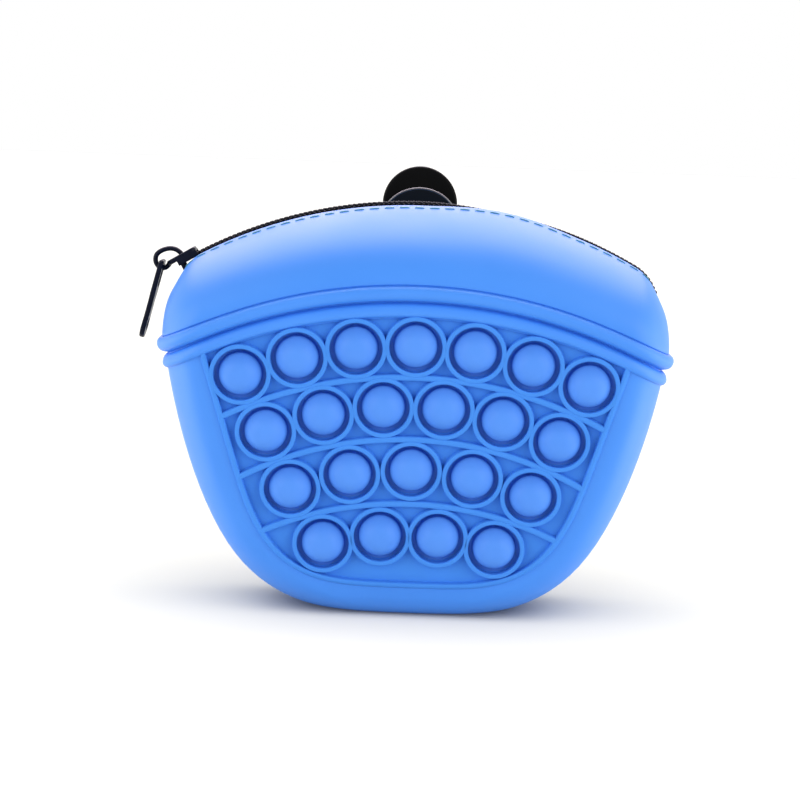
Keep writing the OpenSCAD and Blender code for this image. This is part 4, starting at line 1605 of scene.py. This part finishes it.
@dataclass
class BeltClip:
    """The sprung clip on the back: fixed plate, thumb lever, pin, spring and fixings."""

    wall_y: float = 25.0
    plate_t: float = 3.0
    plate_w: float = 24.0
    plate_edge: float = 0.7
    wall_gap: float = 0.02
    rim: float = 0.4
    rim_in: float = 0.25
    rim_y: float = 0.3
    rim_ends: float = 2.0
    plate_z: tuple[float, float] = (64.0, 118.0)
    lever_w: float = 22.0
    lever_z: tuple[float, float] = (66.0, 124.0)
    pin: tuple[float, float] = (31.4, 100.0)
    foot_r: float = 4.0
    lug_r: float = 2.7
    lug_edge: float = 0.3
    ear_sink: float = 0.5
    lever_root: float = 35.1
    lever_edge: float = 0.8
    face_rows: tuple[float, float, float] = (67.5, 122.0, 1.5)
    face_half: float = 9.5
    face_share: float = 0.86
    face_inset: float = 1.2
    grip_inset: float = 2.6
    grips: tuple[float, ...] = (106.0, 109.0, 112.0, 115.0, 118.0)
    grip_r: float = 0.7
    ears: tuple[float, float] = (6.6, 8.8)
    knuckles: tuple[float, float] = (4.2, 6.3)
    lever_front: tuple[tuple[float, float], ...] = (
        *((66.0, 32.3), (67.2, 30.2), (68.5, 28.4), (70.5, 28.4), (72.2, 30.4), (74.0, 32.4), (78.0, 34.0)),
        *((90.0, 34.3), (103.0, 34.6), (110.0, 35.0), (117.0, 35.5), (124.0, 36.2)),
    )
    lever_back: tuple[tuple[float, float], ...] = (
        *((66.0, 34.4), (68.0, 35.2), (72.0, 35.7), (78.0, 36.4), (90.0, 36.7), (100.0, 37.0)),
        *((110.0, 37.8), (117.0, 38.3), (124.0, 38.8)),
    )
    wire: float = 0.35
    coil_r: float = 2.35
    coil_pitch: float = 1.25
    coil_turns: int = 4
    leg: float = 8.0
    leg_start: float = 0.6

    def round_plate(self, wide: float, span: tuple[float, float]) -> Loop:
        """Outline of a plate with a round top, anticlockwise.

        Args:
            wide: Width of the plate.
            span: Lowest and highest Z.

        Returns:
            X and Z round the outline.
        """
        half, r, (low, high) = wide / 2, self.foot_r, span
        top = arc_points((0, high - half), half, np.linspace(0, math.pi, 61))
        right = [(half, z) for z in np.linspace(low + r, high - half, 40)[:-1]]
        foot = arc_points((half - r, low + r), r, np.linspace(-math.pi / 2, 0, 9)[:-1])
        return np.array([*[(-x, z) for x, z in foot[::-1]], *foot, *right, *top, *[(-x, z) for x, z in right[::-1]]])

    def build(self) -> None:
        """Makes the clip's pieces."""
        base, back = Shape(), self.wall_y + self.plate_t

        def upright(plane: np.ndarray, level: np.ndarray) -> np.ndarray:
            """Puts points of an upright plate into space."""
            return np.column_stack([plane[:, 0], level, plane[:, 1]])

        outline, low = self.round_plate(self.plate_w, self.plate_z), level_at(self.wall_y + self.wall_gap)
        base.slab([outline], self.plate_edge, low, level_at(back), upright)
        self.add_lugs(base, self.ears, back - self.ear_sink)
        plate = base.build("clip_base_moulding", ABS_PLATE, crease=50)
        # A paler, glossy bead along the plate's round top edge draws a painted highlight line
        rim, edge = Shape(), self.round_plate(self.plate_w - 2 * self.rim_in, self.plate_z) - (0, self.rim_in)
        edge = edge[edge[:, 1] > self.plate_z[1] - self.plate_w / 2]
        line = upright(edge, np.full(len(edge), self.wall_y + self.rim_y))
        rim.tube(line, self.rim, sides=10, up=(0, 1, 0), ends=self.rim_ends)
        painted_highlight = rim.build("clip_base_rim_painted_highlight", ABS_PAINTED_HIGHLIGHT, crease=50)
        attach(painted_highlight, Body.POUCH.value)
        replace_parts(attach(plate, Body.POUCH.value), "clip_base")

        lever = Shape()
        front, rear = np.array(self.lever_front), np.array(self.lever_back)
        rows = np.unique(np.concatenate([np.arange(*self.face_rows), front[1:-1, 0], rear[1:-1, 0]]))
        extra = np.array([(x, z) for z in rows for x in np.linspace(-self.face_half, self.face_half, 9)])
        outline = self.round_plate(self.lever_w, self.lever_z)
        extra = extra[inside(extra, [outline * (self.face_share, 1)])]
        centre = np.array([0, self.lever_z[1] - self.lever_w / 2])
        near_top = extra[:, 1] > centre[1]
        clear = np.linalg.norm(extra - centre, axis=1) < self.lever_w / 2 - self.face_inset
        extra = extra[~near_top | clear]
        lever.slab(
            [outline],
            self.lever_edge,
            lambda plane: np.interp(plane[:, 1], front[:, 0], front[:, 1]),
            lambda plane: np.interp(plane[:, 1], rear[:, 0], rear[:, 1]),
            upright,
            extra,
        )
        self.add_lugs(lever, self.knuckles, self.lever_root)
        for z in self.grips:
            half = math.sqrt((self.lever_w / 2 - self.grip_inset) ** 2 - max(0.0, z - centre[1]) ** 2)
            rib = np.linspace((-half, 0, z), (half, 0, z), 15)
            rib[:, 1] = np.interp(z, rear[:, 0], rear[:, 1])
            lever.tube(rib, self.grip_r, sides=12, up=(0, 0, 1), ends=self.grip_r)
        made = lever.build("clip_lever_moulding", ABS, crease=50)
        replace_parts(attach(made, Body.LEVER.value), "clip_lever")
        self.make_spring()
        for node, finish in (("clip_pin", STEEL), ("clip_rivets", STEEL), ("backing_plate", ABS)):
            dress(node, finish)

    def add_lugs(self, shape: Shape, span: tuple[float, float], root: float) -> None:
        """Adds the two lugs that carry the pin.

        Args:
            shape: The plate or lever.
            span: Least and greatest distance of a lug from the middle.
            root: Y of the lug's root.
        """
        y, z = self.pin
        side = math.copysign(1, y - root)
        r, angles = self.lug_r, np.linspace(-1.57, 1.57, 21)
        arc = [(y + side * x, z + h) for x, h in arc_points((0, 0), r, angles)]
        loop = np.array([(root, z - r), *arc, (root, z + r)][:: int(side)])
        for m in (-1, 1):
            low, high = (level_at(x) for x in sorted((m * span[0], m * span[1])))
            shape.slab([loop], self.lug_edge, low, high, lambda plane, level: np.column_stack([level, plane]))

    def make_spring(self) -> None:
        """Makes the torsion spring: one wire wound round the pin, with a leg to the plate and one to the lever."""
        turn = np.linspace(0, 2 * math.pi * self.coil_turns, 24 * self.coil_turns + 1)
        half = self.coil_pitch * self.coil_turns / 2
        along_pin = -half + self.coil_pitch * turn / (2 * math.pi)
        coil = np.column_stack([along_pin, self.coil_r * np.cos(turn), self.coil_r * np.sin(turn)])
        first = [(-half, self.coil_r, -z) for z in np.linspace(self.leg, self.leg_start, 8)]
        last = [(half, self.coil_r, z) for z in np.linspace(self.leg_start, self.leg, 8)]
        shape = Shape()
        line = np.array([*first, *coil, *last]) + (0, *self.pin)
        shape.tube(line, self.wire, sides=10, up=(1, 0, 0.02), ends=0.3)
        made = shape.build("clip_spring_wire", STEEL, crease=70)
        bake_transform(made)
        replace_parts(made, "clip_spring")


def dress(node: str, finish: Finish) -> None:
    """Gives a node of the construction model its finish.

    Args:
        node: Name of the node.
        finish: Finish that it gets.
    """
    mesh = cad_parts[node].data
    mesh.materials.clear()
    mesh.materials.append(finish.material())
    log.info("%s: %s", node, finish.name)


# Studio


@dataclass
class Studio:
    """White sweep, soft lamps and the camera."""

    elevation: float = 7.0
    distance: float = 650.0
    roll: float = 2.1
    target: tuple[float, float, float] = (-3.757, 0.0, 58.871)
    pixels_per_mm: float = 3.538
    image: int = 800
    sensor: float = 36.0
    clip_range: tuple[float, float] = (0.01, 20.0)
    world_light: float = 0.25
    floor_x: tuple[float, float] = (-4000.0, 4000.0)
    floor_y: tuple[float, float] = (-3000.0, 6000.0)

    def build(self) -> None:
        """Makes the floor, the lamps, the world and the camera."""
        shape = Shape()
        index = shape.add(np.array([(x, y, 0) for y in self.floor_y for x in self.floor_x]))
        shape.face(index[[0, 1, 3, 2]])
        floor = shape.build("floor", PAPER)
        self.make_world()
        front_lamps = [
            self.make_lamp("top_light", azimuth=180.0, elevation=65.0, spread=50.0, strength=1.3),
            self.make_lamp("front_left_light", azimuth=-52.0, elevation=16.0, spread=50.0, strength=1.7),
            self.make_lamp("front_right_light", azimuth=52.0, elevation=16.0, spread=50.0, strength=1.8),
            self.make_lamp(
                "back_rim_light",
                azimuth=180.0,
                elevation=58.0,
                spread=80.0,
                strength=4.9,
                colour="#FFE9FF",
                gloss_only=True,
            ),
        ]
        side_lamps = [
            self.make_lamp("left_side_light", azimuth=-95.0, elevation=-5.0, spread=60.0, strength=1.2),
            self.make_lamp("right_side_light", azimuth=95.0, elevation=-5.0, spread=60.0, strength=1.5),
        ]
        floor_lamp = self.make_lamp(
            "floor_light", azimuth=0.0, elevation=70.0, spread=115.0, strength=8.4, colour="#FFFDF7"
        )
        self.link_lamps([*front_lamps, *side_lamps], floor, Lights.POUCH)
        # The side lamps come from a little below the floor, which doesn't stand in their way
        for lamp in side_lamps:
            lamp.light_linking.blocker_collection = lamp.light_linking.receiver_collection
        self.link_lamps([floor_lamp], floor, Lights.FLOOR)
        self.make_camera()

    def link_lamps(self, lamps: list[bpy.types.Object], floor: bpy.types.Object, lights: Lights) -> None:
        """Has lamps light everything but the floor, or the floor alone, so that its shadow lies under the pouch.

        Args:
            lamps: The lamps.
            floor: The floor.
            lights: What they light.
        """
        group = bpy.data.collections.new(f"lights_{lights.name.lower()}")
        group.objects.link(floor)
        group.collection_objects[0].light_linking.link_state = lights.value
        for lamp in lamps:
            lamp.light_linking.receiver_collection = group

    def make_world(self) -> None:
        """Makes a world that lights the pouch softly and shows plain white."""
        world = bpy.data.worlds.new("studio")
        bpy.context.scene.world = world
        world.use_nodes = True
        tree = world.node_tree
        tree.nodes.clear()
        light = add_node(tree, "ShaderNodeBackground", {"Color": (1, 1, 1, 1), "Strength": self.world_light})
        shown = add_node(tree, "ShaderNodeBackground", {"Color": (1, 1, 1, 1), "Strength": 1.0})
        mix = add_node(
            tree,
            "ShaderNodeMixShader",
            {0: seen_directly(tree), 1: light.outputs["Background"], 2: shown.outputs["Background"]},
        )
        add_node(tree, "ShaderNodeOutputWorld", {"Surface": mix.outputs["Shader"]})

    def make_lamp(
        self,
        name: str,
        azimuth: float,
        elevation: float,
        spread: float,
        strength: float,
        colour: str = "#FFFFFF",
        gloss_only: bool = False,
    ) -> bpy.types.Object:
        """Makes one soft lamp that is far away, so that it lights everything alike.

        Args:
            name: Name of the lamp.
            azimuth: Degrees to the right of the camera's side.
            elevation: Degrees above the floor.
            spread: How wide the lamp looks, in degrees.
            strength: Light that falls on a surface facing it, in watts per square metre.
            colour: Colour of its light.
            gloss_only: Whether it shows only as a highlight.

        Returns:
            The lamp.
        """
        data = bpy.data.lights.new(name, "SUN")
        data.angle, data.energy, data.color = math.radians(spread), strength, linear(colour)[:3]
        lamp = bpy.data.objects.new(name, data)
        lamp.rotation_euler = (math.radians(90 - elevation), 0, math.radians(azimuth))
        lamp.visible_diffuse = not gloss_only
        bpy.context.scene.collection.objects.link(lamp)
        return lamp

    def make_camera(self) -> None:
        """Makes the camera at the photograph's place, with its slight roll."""
        e, roll = math.radians(self.elevation), math.radians(self.roll)
        ahead = Vector((0, math.cos(e), -math.sin(e)))
        right = Vector((1, 0, 0))
        up = right.cross(ahead)
        right, up = right * math.cos(roll) + up * math.sin(roll), up * math.cos(roll) - right * math.sin(roll)
        data = bpy.data.cameras.new("camera")
        data.sensor_width = self.sensor
        data.lens = self.pixels_per_mm * self.distance * self.sensor / self.image
        data.clip_start, data.clip_end = self.clip_range
        camera = bpy.data.objects.new("camera", data)
        turn = Matrix((right, up, -ahead)).transposed().to_4x4()
        camera.matrix_world = Matrix.Translation((Vector(self.target) - ahead * self.distance) * MM) @ turn
        bpy.context.scene.collection.objects.link(camera)
        bpy.context.scene.camera = camera


def main() -> None:
    """Builds the studio and every sub-assembly of the pouch."""
    logging.basicConfig(level=logging.INFO, format="%(name)s: %(message)s")
    bpy.context.scene.view_settings.view_transform = "Standard"
    Studio().build()
    line = ZipLine()
    body = PouchBody(line, PanelPlan())
    body.build()
    BubblePanel(body).build()
    for side in Side:
        ZipHalf(body, side).build()
    ZipSlider(line).build()
    BeltClip().build()


if __name__ == "__main__":
    main()
